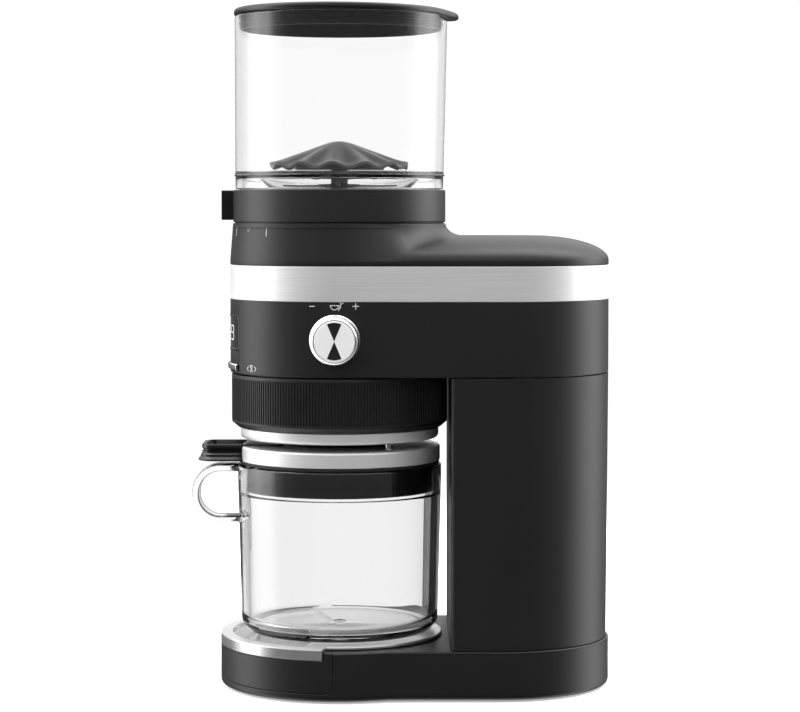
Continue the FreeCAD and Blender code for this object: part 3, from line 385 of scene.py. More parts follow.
# The hole in the rear wall that the cord's rubber inlet sits in.
inlet_low, inlet_high = span("cord_inlet")
INLET_BORE = 6.5
inlet_height = (inlet_low[2] + inlet_high[2]) / 2
drill = rounded([(0, inlet_low[1] - 1), (INLET_BORE, inlet_low[1] - 1), (INLET_BORE, base_high[1] + 2),
                 (0, base_high[1] + 2)], 1, False)
across, up, back = np.moveaxis(swept(ring_path(48), drill[:, 0], drill[:, 1]), -1, 0)
drill = grid(np.stack([across, back, inlet_height - up], -1), profile_loop=False)
drill = make("inlet_drill", drill, body="housing", slot="matte_black", finish=black_plastic)
combined(base, drill, "DIFFERENCE", 32)
base.modifiers.new("even shading", "WEIGHTED_NORMAL").keep_sharp = True

# ------------------------------------------------------------------ tray
# The tray front is a curved ABS panel that pulls forward with the tray. The bright steel plate over it
# catches loose grounds: a raised lip runs round the front and dies away on a slant beside the jar.
LIP_ANGLE = 84.0
ends = np.array([LIP_ANGLE - 0.05, LIP_ANGLE + 0.05, *np.linspace(83.9, SEAM_ANGLE, 9)])
arc = np.unique(np.concatenate([np.linspace(-SEAM_ANGLE, SEAM_ANGLE, 140), ends, -ends]))
low_edge = front_lower_edge(np.abs(arc), SEAM_ANGLE, BASE_NOSE)
high_edge = np.where(np.abs(arc) < LIP_ANGLE, lip_low[2] - 0.2, base_top)
PANEL_EDGE = ((4.6, 0.0), (0.4, 0.0), (0.1, 0.1), (0.0, 0.4))
rows = [(BASE_NOSE - inset, low_edge + rise) for inset, rise in PANEL_EDGE]
rows += [(BASE_NOSE - inset, high_edge - rise) for inset, rise in PANEL_EDGE[::-1]]
make("tray_front_panel", grid(laid(arc_path(np.radians(arc)), rows), loop=False, caps=True), body="tray",
     slot="matte_black", finish=black_plastic, replaces=["tray_front"])


def brushed(name, level, rough, stretch=(6, 6, 900), depth=0.004, contrast=0.10, metal=0.65):
    """Steel brushed along its length: long fine scratches in tone, gloss and relief."""
    finish = Finish(name, Metallic=metal, Anisotropic=0.7)
    scratches = finish.noise(3.0, 4.0, stretch)
    cloud = finish.noise(9.0, 2.0)
    dark, bright = grey(level * (1 - contrast)), grey(min(1, level * (1 + contrast)))
    finish.wire(Base_Color=finish.mix(scratches, dark, bright),
                Roughness=scratches * 0.14 + cloud * 0.05 + (rough - 0.095))
    return finish.bump(scratches, depth).material


# The plate's sunk floor is smoother than its lip and ends in a slanted step behind it; its darker colour is
# painted reflection of the jar.
plate_top = lip_high[2]
DISC = lip_high[1]
LIP_WIDTH = 6.5
SUNK = 1.9
FLOOR_REACH = 56.0
tray_finish = Finish("satin tray steel", Metallic=0.8)
satin = tray_finish.noise(3.0, 4.0, (300, 5, 5))
tray_height = tray_finish.node("ShaderNodeSeparateXYZ", Vector=tray_finish.place(), output="Z")
sunk_floor = tray_height < (plate_top - 0.9) * MILLIMETRE
lip_tone = tray_finish.mix(satin, grey(0.60), grey(0.66))
# Painted reflection: the sunk floor's darker grey stands for the jar mirrored in the steel, which is the same
# steel as the lip.
tray_finish.wire(Base_Color=tray_finish.mix(sunk_floor, lip_tone, grey(0.42)),
                 Roughness=0.28 + satin * 0.08 - sunk_floor * 0.16)
tray_steel = tray_finish.bump(satin, 0.002).material
plate_path = ring_path(360)
bearing = off_front(plate_path)
ahead = bearing < LIP_ANGLE
outer = np.where(ahead, BASE_NOSE, DISC)
under = np.where(ahead, lip_low[2], base_top + 0.3)
sunk_edge = SUNK * np.clip((77 - bearing) / 2.5, 0, 1)
sunk = SUNK * np.clip((72 - bearing) / 2.5, 0, 1)
inner_lip = outer - np.where(ahead, LIP_WIDTH, 3.0)
floor_edge = np.minimum(inner_lip - 1.2, FLOOR_REACH)
rows = [(0, under + 4.5 * ahead), (outer - 5.0, under + 4.5 * ahead), (outer - 5.0, under),
        (outer - 0.3, under), (outer, under + 0.3), (outer, plate_top - 0.9),
        (outer - 0.25, plate_top - 0.25), (outer - 0.9, plate_top), (inner_lip, plate_top),
        (inner_lip - 0.5, plate_top - sunk_edge), (floor_edge, plate_top - sunk), (0, plate_top - sunk)]
make("tray_plate", grid(laid(plate_path, rows), profile_loop=False), body="tray", slot="brushed_steel",
     finish=tray_steel, replaces=["tray_plate"])

# ------------------------------------------------------------------ column
# A moulded tube that holds the motor. Its front is flat where the jar stands, its rear follows the body, and
# it draws in by a millimetre towards the base.
column_low, column_high = span("column_shell")
COLUMN_CORNER = 3.2
DRAFT = 1.0
EDGE = 0.35
rear_end = body_radius + REAR_CENTRE
outline = rounded([(body_radius, column_low[1], COLUMN_CORNER), (body_radius, rear_end, body_radius - 0.01),
                   (-body_radius, rear_end, body_radius - 0.01),
                   (-body_radius, column_low[1], COLUMN_CORNER)], steps=40)
levels = np.array([column_low[2], column_low[2] + EDGE, column_high[2] - EDGE, column_high[2]])
pull = np.array([EDGE, 0, 0, EDGE])
draft = DRAFT * (column_high[2] - levels) / (column_high[2] - column_low[2])
backness = (outline[:, 1:] - column_low[1]) / (rear_end - column_low[1])
across = outline[:, :1] * (1 - (pull + 0.6 * draft) / body_radius)
back = outline[:, 1:] - draft * backness - pull * np.sign(backness - 0.5)
points = np.stack([across, back, np.tile(levels, (len(outline), 1))], -1)
make("column", grid(points, profile_loop=False), body="housing", slot="matte_black", finish=black_plastic,
     replaces=["column_shell"], wall=2.4)

# ------------------------------------------------------------------ control housing
# The lower half of the head, moulded in one with its floor. It has openings for the display and the start bar
# at the front, and the knob's spindle passes through its side.
housing_low, housing_high = span("control_housing")
bezel_low, bezel_high = span("display_bezel")
bar_low, bar_high = span("start_bar")
BEZEL_ANGLE = 26.4
BAR_ANGLE = 25.0
SLOT_ANGLE = 26.4
openings = ((SLOT_ANGLE, bar_low[2] - 0.35, bar_high[2] + 0.35),
            (BEZEL_ANGLE - 0.3, bezel_low[2] + 0.2, bezel_high[2] - 0.2))
housing_path = body_path([opening[0] for opening in openings], arc_count=90)
bottom = rounded([(1, housing_low[2]), (body_radius, housing_low[2], 0.5),
                  (body_radius, housing_low[2] + 1)], 3, False)
top_end = rounded([(body_radius, housing_high[2] - 1), (body_radius, housing_high[2], 0.4),
                   (body_radius - 1, housing_high[2])], 3, False)
between = [[body_radius, height] for opening in openings for height in opening[1:]]
profile = np.concatenate([[[0, housing_low[2]]], bottom[1:], between, top_end[1:-1]])
keep = np.ones((len(housing_path[0]), len(profile)), bool)
bearing = np.degrees(np.arctan2(housing_path[1][:, 0], -housing_path[1][:, 1]))
in_front = (housing_path[0][:, 1] == 0) & (housing_path[1][:, 1] < 0)
for limit, low, high in openings:
    columns = in_front & (bearing >= -limit - 1e-3) & (bearing < limit - 1e-3)
    rows = (profile[:, 1] >= low - TINY) & (profile[:, 1] < high - TINY)
    keep[np.ix_(columns, rows & (profile[:, 0] > body_radius - TINY))] = False
points = swept(housing_path, profile[:, 0], profile[:, 1])
make("control_housing", grid(points, profile_loop=False, keep=keep), body="housing", slot="matte_black",
     finish=black_plastic, replaces=["control_housing"], wall=1.1)

# ------------------------------------------------------------------ steel band
# A strip of stainless steel, brushed along its length, wrapped round the head and bonded flush.
band_steel = brushed("brushed band steel", 0.74, 0.38, depth=0.012, contrast=0.16)
profile = rounded([(body_radius, band_low[2], 0.35), (body_radius, band_high[2], 0.35),
                   (body_radius - 1.5, band_high[2]), (body_radius - 1.5, band_low[2])], 3)
make("steel_band", grid(swept(body_path(arc_count=90), profile[:, 0], profile[:, 1])), body="housing",
     slot="brushed_steel", finish=band_steel, replaces=["steel_band"])

# ------------------------------------------------------------------ top housing
# The upper half of the head, moulded in one with the neck under the hopper. Its long soft shoulder falls away
# to the band, and sweeps up to the neck in a hollow curve.
neck_top = span("top_housing")[1][2]
CROWN = 249.1
SHOULDER_START = 235.7
SHOULDER_LENGTH = 41.0
NECK_TOP_RADIUS = 58.9
NECK_BORE = 38
HOLLOW = 10.5
bearing = np.radians(np.concatenate([np.linspace(0, 34, 26), np.linspace(34, 60, 26)[1:],
                                     np.linspace(60, 120, 70)[1:], np.linspace(120, 180, 30)[1:]]))
bearing = np.concatenate([bearing, (2 * np.pi - bearing[1:-1])[::-1]])
sine, cosine = np.abs(np.sin(bearing)), np.cos(bearing)
rear_reach = REAR_CENTRE * cosine + np.sqrt(np.maximum(body_radius ** 2 - (REAR_CENTRE * sine) ** 2, 0))
side_reach = body_radius / np.maximum(sine, TINY)
reach = np.where(sine * REAR_CENTRE < cosine * body_radius, rear_reach, side_reach)
reach = np.where(cosine <= 0, body_radius, reach)[:, None]
length = reach - NECK_TOP_RADIUS
share = 0.5 - 0.5 * np.cos(np.pi * np.linspace(0, 1, 44))
full_radius = reach - length * share
directions = np.stack([np.sin(bearing), cosine], -1)
spot = full_radius[..., None] * directions[:, None]
spine = np.clip(spot[..., 1], 0, REAR_CENTRE)
inset = body_radius - np.hypot(spot[..., 0], spot[..., 1] - spine)
rise = 1 - np.clip((SHOULDER_LENGTH - inset) / SHOULDER_LENGTH, 0, 1) ** 2
shoulder = SHOULDER_START + (CROWN - SHOULDER_START) * np.sqrt(np.clip(rise, 0, 1))
near = np.clip((full_radius - NECK_TOP_RADIUS) / np.minimum(HOLLOW, 0.75 * length), 0, 1)
sweep_up = 1 - np.sqrt(np.clip(1 - (1 - near) ** 2, 0, 1))
full_height = shoulder + (neck_top - shoulder) * sweep_up
plain_height = SHOULDER_START + (neck_top - SHOULDER_START) * share
weight = np.clip((length - 1.2) / 16, 0, 1)
weight = weight ** 2 * (3 - 2 * weight)
surface_height = full_height * weight + plain_height * (1 - weight)
surface_height[:, -1] = neck_top - 0.5
reach = reach[:, 0]
rows = [(reach - 0.35, band_high[2]), (reach, band_high[2] + 0.35),
        (reach, 0.5 * (band_high[2] + SHOULDER_START)), *zip(full_radius.T, surface_height.T),
        (NECK_TOP_RADIUS - 0.5, neck_top), (NECK_BORE, neck_top)]
make("top_housing", grid(laid((np.zeros_like(directions), directions), rows), profile_loop=False),
     body="housing", slot="matte_black", finish=black_plastic, replaces=["top_housing"], wall=2.2, sharp=60)

# ------------------------------------------------------------------ dosing ring
# A moulded ring with fine upright ribs for grip. It turns on the drum under the head to set the dose.
ring_low, ring_high = span("dose_ring")
RING = ring_high[0]
RIBS = 220
RIB_LINES = 6
RIB_DEPTH = 0.55
RIB_TOP = 170.6
ring_plastic = moulded("ring plastic", 0.006, 0.42)
groove = np.clip(0.5 - np.cos(np.arange(RIBS * RIB_LINES) * 2 * np.pi / RIB_LINES), 0, 1)[:, None]
rib_foot = ring_low[2] + 3.7
profile = np.concatenate([
    rounded([(RING - 7.6, ring_low[2]), (RING - 3.4, ring_low[2], 0.4), (RING - 0.1, ring_low[2] + 2.8, 0.5),
             (RING, ring_low[2] + 3.4)], 3, False),
    [[RING, rib_foot], [RING, rib_foot + 0.4], [RING, RIB_TOP], [RING, RIB_TOP + 0.4]],
    rounded([(RING, RIB_TOP + 0.7), (RING, ring_high[2], 0.5), (RING - 3, ring_high[2])], 3, False),
    [[RING - 3.6, ring_high[2]], [RING - 3.6, ring_low[2] + 1], [RING - 7.6, ring_low[2] + 1]]])
ribbed = (profile[:, 1] > rib_foot + 0.2) & (profile[:, 1] < RIB_TOP + 0.2) & (profile[:, 0] == RING)
radius = profile[:, 0] - RIB_DEPTH * groove * ribbed
make("dosing_ring", grid(swept(ring_path(RIBS * RIB_LINES), radius, profile[:, 1])), body="ring",
     slot="matte_black", finish=ring_plastic, replaces=["dose_ring"], sharp=28)

# ------------------------------------------------------------------ chute
# The steel ring closes the underside of the dosing ring. The black neck in its middle leads the grounds down.
trim_steel = brushed("trim steel", 0.72, 0.36, stretch=(5, 5, 500), depth=0.004, contrast=0.05)
trim_low, trim_high = span("chute_trim_ring")
TRIM = trim_high[0]
TRIM_BORE = 29.2
profile = rounded([(TRIM_BORE, trim_low[2]), (TRIM, trim_low[2], 2.6), (TRIM, trim_high[2], 0.3),
                   (TRIM - 1.5, trim_high[2]), (TRIM - 2, trim_low[2] + 2.2),
                   (TRIM_BORE, trim_low[2] + 2.2)], 6)
make("chute_trim_ring", turned(profile), body="housing",
     slot="brushed_steel", finish=trim_steel, replaces=["chute_trim_ring"])
neck_low, neck_high = span("chute_neck")
NECK = neck_high[0]
profile = rounded([(NECK - 3.5, neck_low[2], 0.5), (NECK, neck_low[2], 0.6), (NECK, neck_high[2]),
                   (NECK - 3.5, neck_high[2])], 3)
make("chute_neck", turned(profile, 96), body="housing", slot="matte_black",
     finish=black_plastic, replaces=["chute_neck"])

# ------------------------------------------------------------------ grounds jar
# One clear moulding in thick copolyester: a straight cup with a rounded foot, and a loop handle at the front.
clear = Finish("clear copolyester", Base_Color=grey(0.99), Roughness=0.0, IOR=1.49,
               Transmission_Weight=1.0).material
thick_clear = Finish("thick clear copolyester", Base_Color=grey(0.95), Roughness=0.0, IOR=1.49,
                     Transmission_Weight=1.0).material
jar_low, jar_high = span("jar")
JAR = jar_high[0]
JAR_FOOT = JAR - 2.0
JAR_WALL = 4.2
JAR_BORE = JAR - JAR_WALL
plug_bottom = span("jar_lid_core")[0][2]
jar_foot, jar_floor = jar_low[2], jar_low[2] + 4.5
profile = rounded([(0, jar_foot), (JAR_FOOT, jar_foot, 8), (JAR, 115, 20), (JAR, jar_high[2], 0.9),
                   (JAR_BORE, jar_high[2], 0.9), (JAR_BORE, plug_bottom - 1, 1.0),
                   (JAR_BORE - 0.9, plug_bottom - 2, 1.0), (JAR_FOOT - JAR_WALL - 0.6, jar_floor + 0.1, 6.5),
                   (3.5, jar_floor + 0.1, 0.2), (3.2, jar_floor + 0.5, 0.2), (2.5, jar_floor + 0.5, 0.2),
                   (2.2, jar_floor, 0.2), (0, jar_floor)], 8, False)
jar = make("grounds_jar", turned(profile, 128, profile_loop=False),
           body="grounds_jar", slot="clear", finish=thick_clear, replaces=["jar"])
jar.visible_shadow = False


def along(line):
    """Unit directions along a line of (across, up) points, and the same turned a quarter to the left."""
    ahead = np.gradient(line, axis=0)
    ahead /= np.linalg.norm(ahead, axis=1)[:, None]
    return ahead, np.stack([-ahead[:, 1], ahead[:, 0]], -1)


# The handle: a rounded flat bar along a D-shaped loop, whose ends run into the wall.
BAR = 4.3
HANDLE_HALF = 6.5
HANDLE_LOW = 89.5
HANDLE_BEND = 14
root_at, front_at = -JAR + 1.5, jar_low[1] + BAR / 2
top_at, low_at = jar_high[2] - BAR / 2, HANDLE_LOW + BAR / 2
line = rounded([(root_at, top_at), (front_at, top_at, HANDLE_BEND), (front_at, low_at, HANDLE_BEND),
                (root_at, low_at)], 20, False)
section = rounded([(x * HANDLE_HALF, z * BAR / 2, 2.0) for x, z in ((-1, -1), (1, -1), (1, 1), (-1, 1))], 5)
yz = line[:, None] + section[None, :, 1, None] * along(line)[1][:, None]
points = np.concatenate([np.tile(section[:, 0], (len(line), 1))[..., None], yz], -1)
handle = make("jar_handle", grid(points, loop=False, caps=True), body="grounds_jar", slot="clear",
              finish=thick_clear)
combined(jar, handle, "UNION", 40)

# ------------------------------------------------------------------ jar lid
# A black plug with two sealing ribs, a rubber ring over the jar's rim, and a skin of steel pressed over the
# top.
core_low, core_high = span("jar_lid_core")
seal_low, seal_high = span("jar_lid_seal")
skin_low, skin_high = span("jar_lid_band")
grip_low, grip_high = span("lid_grip")
PLUG = JAR_BORE - 0.35
PLUG_NECK = 53.2
LID_HOLE = 20
RIB_CUT = 0.7
SEAL_OUT = 55.4
gloss_black = moulded("lid plastic", 0.003, 0.26, 0.004)
rubber = moulded("black rubber", 0.009, 0.6, 0.006)
ribs = [(PLUG - cut, level + rise) for level in (112.6, 116.4)
        for cut, rise in ((0, 0), (RIB_CUT, 0.4), (RIB_CUT, 1.3), (0, 1.7))]
profile = rounded([(PLUG - 3, core_low[2], 0.5), (PLUG, core_low[2], 1.2)] + ribs
                  + [(PLUG, seal_high[2]), (PLUG_NECK, seal_high[2]), (PLUG_NECK, core_high[2]),
                     (LID_HOLE, core_high[2], 0.5), (LID_HOLE, core_high[2] - 2.4, 0.5),
                     (PLUG - 3, core_high[2] - 2.4, 2)], 5)
make("lid_plug", turned(profile), body="jar_cover", slot="matte_black",
     finish=gloss_black, replaces=["jar_lid_core"])
profile = rounded([(PLUG + 0.1, seal_low[2], 0.3), (SEAL_OUT, seal_low[2], 0.7),
                   (SEAL_OUT, seal_high[2] - 0.1, 0.3), (PLUG + 0.1, seal_high[2] - 0.1)], 4)
make("lid_sealing_ring", turned(profile), body="jar_cover",
     slot="black_rubber", finish=rubber, replaces=["jar_lid_seal"])
SKIN = skin_high[0]
SKIN_BORE = PLUG_NECK + 0.1
skin_top = skin_high[2]
lid_path = ring_path(288)
cutaway = np.where(off_front(lid_path) < 16.8, 2.4, 0.0)[:, None]
profile = rounded([(SKIN_BORE, skin_low[2]), (SKIN, skin_low[2], 0.5), (SKIN, skin_top, 1.3),
                   (22, skin_top, 0.2), (22, skin_top - 0.7), (SKIN_BORE, skin_top - 0.7)], 7)
radius = np.minimum(profile[:, 0], SKIN - cutaway)
make("lid_steel_skin", grid(swept(lid_path, radius, profile[:, 1])), body="jar_cover", slot="brushed_steel",
     finish=trim_steel, replaces=["jar_lid_band"])

# The pouring lip and thumb grip: a black rubbery moulding with a dished top, stepped sides and a flared foot.
# Its root runs in over the lid.
LIP_ROOT = -50.5
LIP_BEND = 7
half = grip_high[0]
tip = grip_low[1] + 2.4
lip_plan = rounded([(half, LIP_ROOT), (half, tip, LIP_BEND), (-half, tip, LIP_BEND), (-half, LIP_ROOT)],
                   12, False)
outward = -along(lip_plan)[1]
outward *= np.sign((outward * (lip_plan - [0, -60])).sum(1))[:, None]
steps = np.array([(-9, 124.9), (1.6, 124.9), (2.4, 125.3), (2.4, 125.9), (1.0, 127.3), (1.0, 128.4),
                  (0.2, 129.3), (0.2, 130.4), (-0.5, 130.8), (-0.5, 131.3), (0.3, 131.8), (0.4, 133.4),
                  (0.0, 134.1), (-1.4, 134.1), (-2.2, 133.4), (-3.0, 130.2), (-9, 129.6)])
flat = lip_plan[:, None] + outward[:, None] * steps[None, :, 0, None]
points = np.concatenate([flat, np.tile(steps[:, 1], (len(lip_plan), 1))[..., None]], -1)
spine = np.maximum(lip_plan[:, 1], grip_low[1] + 14)
inner_low, inner_high = (np.stack([0 * spine, spine, 0 * spine + level], -1)[:, None]
                         for level in steps[[0, -1], 1])
points = np.concatenate([inner_low, points, inner_high], 1)
root = rounded([(half, -52.5), (half, -31, 4), (-half, -31, 4), (-half, -52.5)], 6)
layers = []
for scale, rise in ((0, -0.3), (1, -0.3), (1, 0.6), (0.985, 0.9), (0, 0.9)):
    layer = root * scale if scale else np.tile([0, -42], (len(root), 1))
    layers.append(np.column_stack([layer, np.full(len(root), skin_top + rise)]))
make("pouring_lip", grid(points, loop=False, caps=True), grid(np.stack(layers, 1), profile_loop=False),
     body="jar_cover", slot="matte_black", finish=gloss_black, replaces=["lid_grip"], sharp=40)

# Two polished studs under the head that guide the jar's lid.
stud_low, stud_high = span("jar_guide_studs")
STUD = 1.9
polished = Finish("polished steel", Base_Color=grey(0.82), Metallic=1.0)
polished.wire(Roughness=polished.noise(40.0) * 0.06 + 0.07)
polished = polished.material
stud = rounded([(0, stud_low[2]), (STUD, stud_low[2], 1.4), (STUD, stud_high[2]), (0, stud_high[2])],
               6, False)
points = swept(ring_path(24), stud[:, 0], stud[:, 1])
studs = [grid(points + [side * (stud_high[0] - 1.8), stud_high[1] - 1.8, 0], profile_loop=False)
         for side in (1, -1)]
make("jar_guide_studs", *studs, body="housing", slot="bright_steel", finish=polished,
     replaces=["jar_guide_studs"])

# ------------------------------------------------------------------ grind collar
# The black collar turns to set the grind, and its square tab points at the marks on the housing.
collar_low, collar_high = span("grind_collar")
COLLAR = collar_high[0]
collar_plastic = moulded("collar plastic", 0.0085, 0.40)
COLLAR_BORE = COLLAR - 2.8
SKIRT_BORE = COLLAR - 6.0
COLLAR_HOLE = 22.5
SEAT = 260.5
SEAT_UNDER = 258
neck_clear = neck_top + 0.06
profile = rounded([(SKIRT_BORE, neck_clear), (COLLAR - 1.0, neck_clear), (COLLAR - 1.0, collar_low[2]),
                   (COLLAR, collar_low[2], 0.7), (COLLAR, collar_high[2], 0.7),
                   (COLLAR_BORE, collar_high[2], 0.4), (COLLAR_BORE, SEAT), (COLLAR_HOLE, SEAT),
                   (COLLAR_HOLE, SEAT_UNDER), (COLLAR_BORE, SEAT_UNDER)], 4)
make("grind_collar", turned(profile, 180), body="collar",
     slot="matte_black", finish=collar_plastic, replaces=["grind_collar"])
tab_low, tab_high = span("collar_pointer")
tab_root = -COLLAR + 0.6
tab = [(tab_high[0], tab_root), (tab_high[0], tab_low[1]), (tab_low[0], tab_low[1]), (tab_low[0], tab_root)]
tab_points = [[(x, y, z) for z in (tab_low[2], tab_high[2])] for x, y in tab]
tab_points, tab_faces = grid(np.array(tab_points), profile_loop=False)
make("pointer_tab", (tab_points, tab_faces + [[0, 2, 4, 6], [1, 3, 5, 7]]), body="collar", slot="matte_black",
     finish=gloss_black, replaces=["collar_pointer"], bevel=0.5)

# ------------------------------------------------------------------ hopper
# A clear tumbler with a thin wall, moulded in one with its floor, its funnel and the skirt that sits in the
# collar. It stands a little back in the collar.
hopper_low, hopper_high = span("hopper")
HOPPER = hopper_high[0]
HOPPER_LOW = 57.5
HOPPER_WALL = 1.8
HOPPER_SEAT = 276.0
SKIRT_IN, SKIRT_OUT = 53.0, 55.2
FLOOR = 282.8
LEAN = 0.011
profile = rounded([(24, hopper_low[2], 0.3), (26, hopper_low[2], 0.3), (26, 264.2, 0.5),
                   (44.6, FLOOR - 2, 1.5), (SKIRT_IN, FLOOR - 2, 0.6), (SKIRT_IN, 262.5, 0.5),
                   (SKIRT_OUT, 262.5, 0.5), (SKIRT_OUT, 274.7, 0.3), (HOPPER_LOW, 274.7, 0.5),
                   (HOPPER_LOW + 0.1, 281.6), (HOPPER_LOW + 0.9, 282.3, 0.3), (HOPPER_LOW + 0.15, 283.2),
                   (HOPPER, hopper_high[2], 0.7), (HOPPER - HOPPER_WALL, hopper_high[2], 0.7),
                   (HOPPER_LOW - HOPPER_WALL, FLOOR, 1.6), (43.7, FLOOR, 1.2), (24, 264.6, 1)], 6)


def leaned(points):
    """Above the collar, y grows with the height over it."""
    points = points.copy()
    points[..., 1] += LEAN * np.maximum(points[..., 2] - HOPPER_SEAT, 0)
    return points


hopper = make("bean_hopper", grid(leaned(swept(ring_path(160), profile[:, 0], profile[:, 1]))),
              body="bean_hopper", slot="clear", finish=clear, replaces=["hopper"], sharp=50)
hopper.visible_shadow = False

# ------------------------------------------------------------------ bean guard
# A grey umbrella over the throat that keeps the weight of the beans off the burrs. Its skirt is waved, and it
# stands on a hub and three thin arms.
GUARD = span("bean_guard")[1][0]
GUARD_TIP = span("bean_guard")[1][2]
LOBES = 13
THICK = 1.9
DISH = 0.03
guard_angle = np.linspace(0, 2 * np.pi, 240, endpoint=False)[:, None]
out = np.linspace(0, 1, 40)[None]
fall = (np.sqrt(out ** 2 + DISH) - np.sqrt(DISH)) / (np.sqrt(1 + DISH) - np.sqrt(DISH))
cone = GUARD_TIP - 13.6 * fall + 0.9 * np.clip((out - 0.8) / 0.2, 0, 1) ** 2
waves = 1.25 * np.cos(LOBES * (guard_angle - np.radians(2.4))) * np.clip((out - 0.35) / 0.65, 0, 1) ** 1.4
radius = out * (GUARD - 0.6 + 0.5 * np.cos(LOBES * guard_angle))
surface = np.stack([radius * np.sin(guard_angle), -radius * np.cos(guard_angle), cone + waves], -1)
lower = surface - [0, 0, THICK]
edge_angle = np.linspace(-np.pi / 2, np.pi / 2, 7)[1:-1][::-1]
edge_centre = (surface[:, -1] + lower[:, -1]) / 2
radial = np.concatenate([np.sin(guard_angle), -np.cos(guard_angle), 0 * guard_angle], -1)
edge_points = (edge_centre[:, None] + 0.5 * radial[:, None] * np.cos(edge_angle)[None, :, None]
               + np.array([0, 0, THICK / 2]) * np.sin(edge_angle)[None, :, None])
umbrella = np.concatenate([surface, edge_points, lower[:, ::-1]], 1)
stem = rounded([(0, 272.6), (4.7, 272.6, 0.6), (4.7, 277.4, 0.6), (11.8, 277.8, 0.5), (11.8, 279.4, 0.5),
                (4.7, 279.8, 0.6), (4.7, 296), (0, 296)], 4, False)
skirt = rounded([(23.4, 285.0, 0.4), (24.8, 285.0, 0.4), (24.8, 292.0), (23.4, 292.0)], 3)
guard_parts = [grid(umbrella, profile_loop=False),
               turned(stem, 48, profile_loop=False),
               turned(skirt, 72)]
ARM_SECTION = ((-0.9, 277.9), (0.9, 277.9), (0.9, 279.3), (-0.9, 279.3))
for turn in np.radians([0, 120, 240]):
    arm = [[(r * np.cos(turn) - w * np.sin(turn), r * np.sin(turn) + w * np.cos(turn), z)
            for w, z in ARM_SECTION] for r in (4, 37.6)]
    guard_parts.append(grid(np.array(arm), loop=False, caps=True))
guard_grey = moulded("guard plastic", 0.13, 0.36, 0.004)
make("bean_guard", *guard_parts, body="bean_hopper", slot="guard_grey", finish=guard_grey,
     replaces=["bean_guard"], sharp=50)

# ------------------------------------------------------------------ hopper lid
# A soft black lid. Its rim runs out into a thumb tab over the rear, and its plug carries a lip seal.
cap_low, cap_high = span("hopper_lid")
CAP = cap_high[0] - 0.4
CAP_RIM = 370.1
CAP_SLOPE = 0.0085
TAB_DROOP = 1.3
PLUG_RIM = span("lid_seal")[1][0]
GROOVE = PLUG_RIM - 0.9
cap_path = ring_path(240)
toward_rear = np.arctan2(cap_path[1][:, 0], cap_path[1][:, 1])
tab_out = (cap_high[1] - CAP - 1.4) * np.exp(-(np.abs(toward_rear) / 0.30) ** 3.2)[:, None]
lip_seal = [(GROOVE, 2.4), (PLUG_RIM, 2.9, 0.2), (PLUG_RIM, 3.5, 0.2), (GROOVE, 4.0), (GROOVE, 5.4),
            (PLUG_RIM - 0.2, 5.8, 0.2), (PLUG_RIM - 0.2, 6.4, 0.2), (GROOVE, 6.8)]
profile = rounded([(0, cap_high[2] - 5), (PLUG_RIM - 3, cap_high[2] - 5), (PLUG_RIM - 2.6, cap_low[2], 0.6),
                   (PLUG_RIM - 1.0, cap_low[2], 0.9)]
                  + [(across, cap_low[2] + up, *rounding) for across, up, *rounding in lip_seal]
                  + [(GROOVE, CAP_RIM), (CAP, CAP_RIM, 1.2), (CAP, cap_high[2], 1.8),
                     (CAP - 6, cap_high[2], 8), (0, cap_high[2])], 5, False)
on_rim = profile[:, 1] > CAP_RIM - 0.2
beyond = np.clip((profile[:, 0] - (CAP - 8)) / 8, 0, 1) * on_rim
radius = profile[:, 0] + tab_out * beyond
backward = radius * cap_path[1][:, 1:]
droop = CAP_SLOPE * (backward + CAP) * np.clip((radius - 40) / 20, 0, 1) * on_rim
droop = droop + TAB_DROOP * tab_out / tab_out.max() * beyond
cap_plastic = moulded("lid cap plastic", 0.002, 0.34)
make("hopper_lid", grid(leaned(swept(cap_path, radius, profile[:, 1] - droop)), profile_loop=False),
     body="hopper_cap", slot="matte_black", finish=cap_plastic, replaces=["hopper_lid", "lid_seal"])

# ------------------------------------------------------------------ dose knob
# Turned and polished metal: a bright bevelled rim round a spun face, with two black wedges painted on it: a
# painted reflection of the dark bow-tie that spun metal shows.
knob_low, knob_high = span("dose_knob")
face_out = span("knob_face")[1][0]
knob_back = (knob_low[1] + knob_high[1]) / 2
knob_height = (knob_low[2] + knob_high[2]) / 2
KNOB = 12.6
FACE = 10.75
SPINDLE = 3.4
WEDGE_REACH = 9.9
WEDGE_SLOPE = 0.42
SKIRT = (knob_high[1] - knob_low[1]) / 2
OUT = knob_high[0]


def turned_sideways(profile):
    """Turn a (radius, distance out) profile about the knob's spindle."""
    radius, distance = profile.T
    turn = np.linspace(0, 2 * np.pi, 120, endpoint=False)[:, None]
    points = np.stack([distance + 0 * turn, knob_back + radius * np.sin(turn),
                       knob_height + radius * np.cos(turn)], -1)
    return grid(points, profile_loop=False)


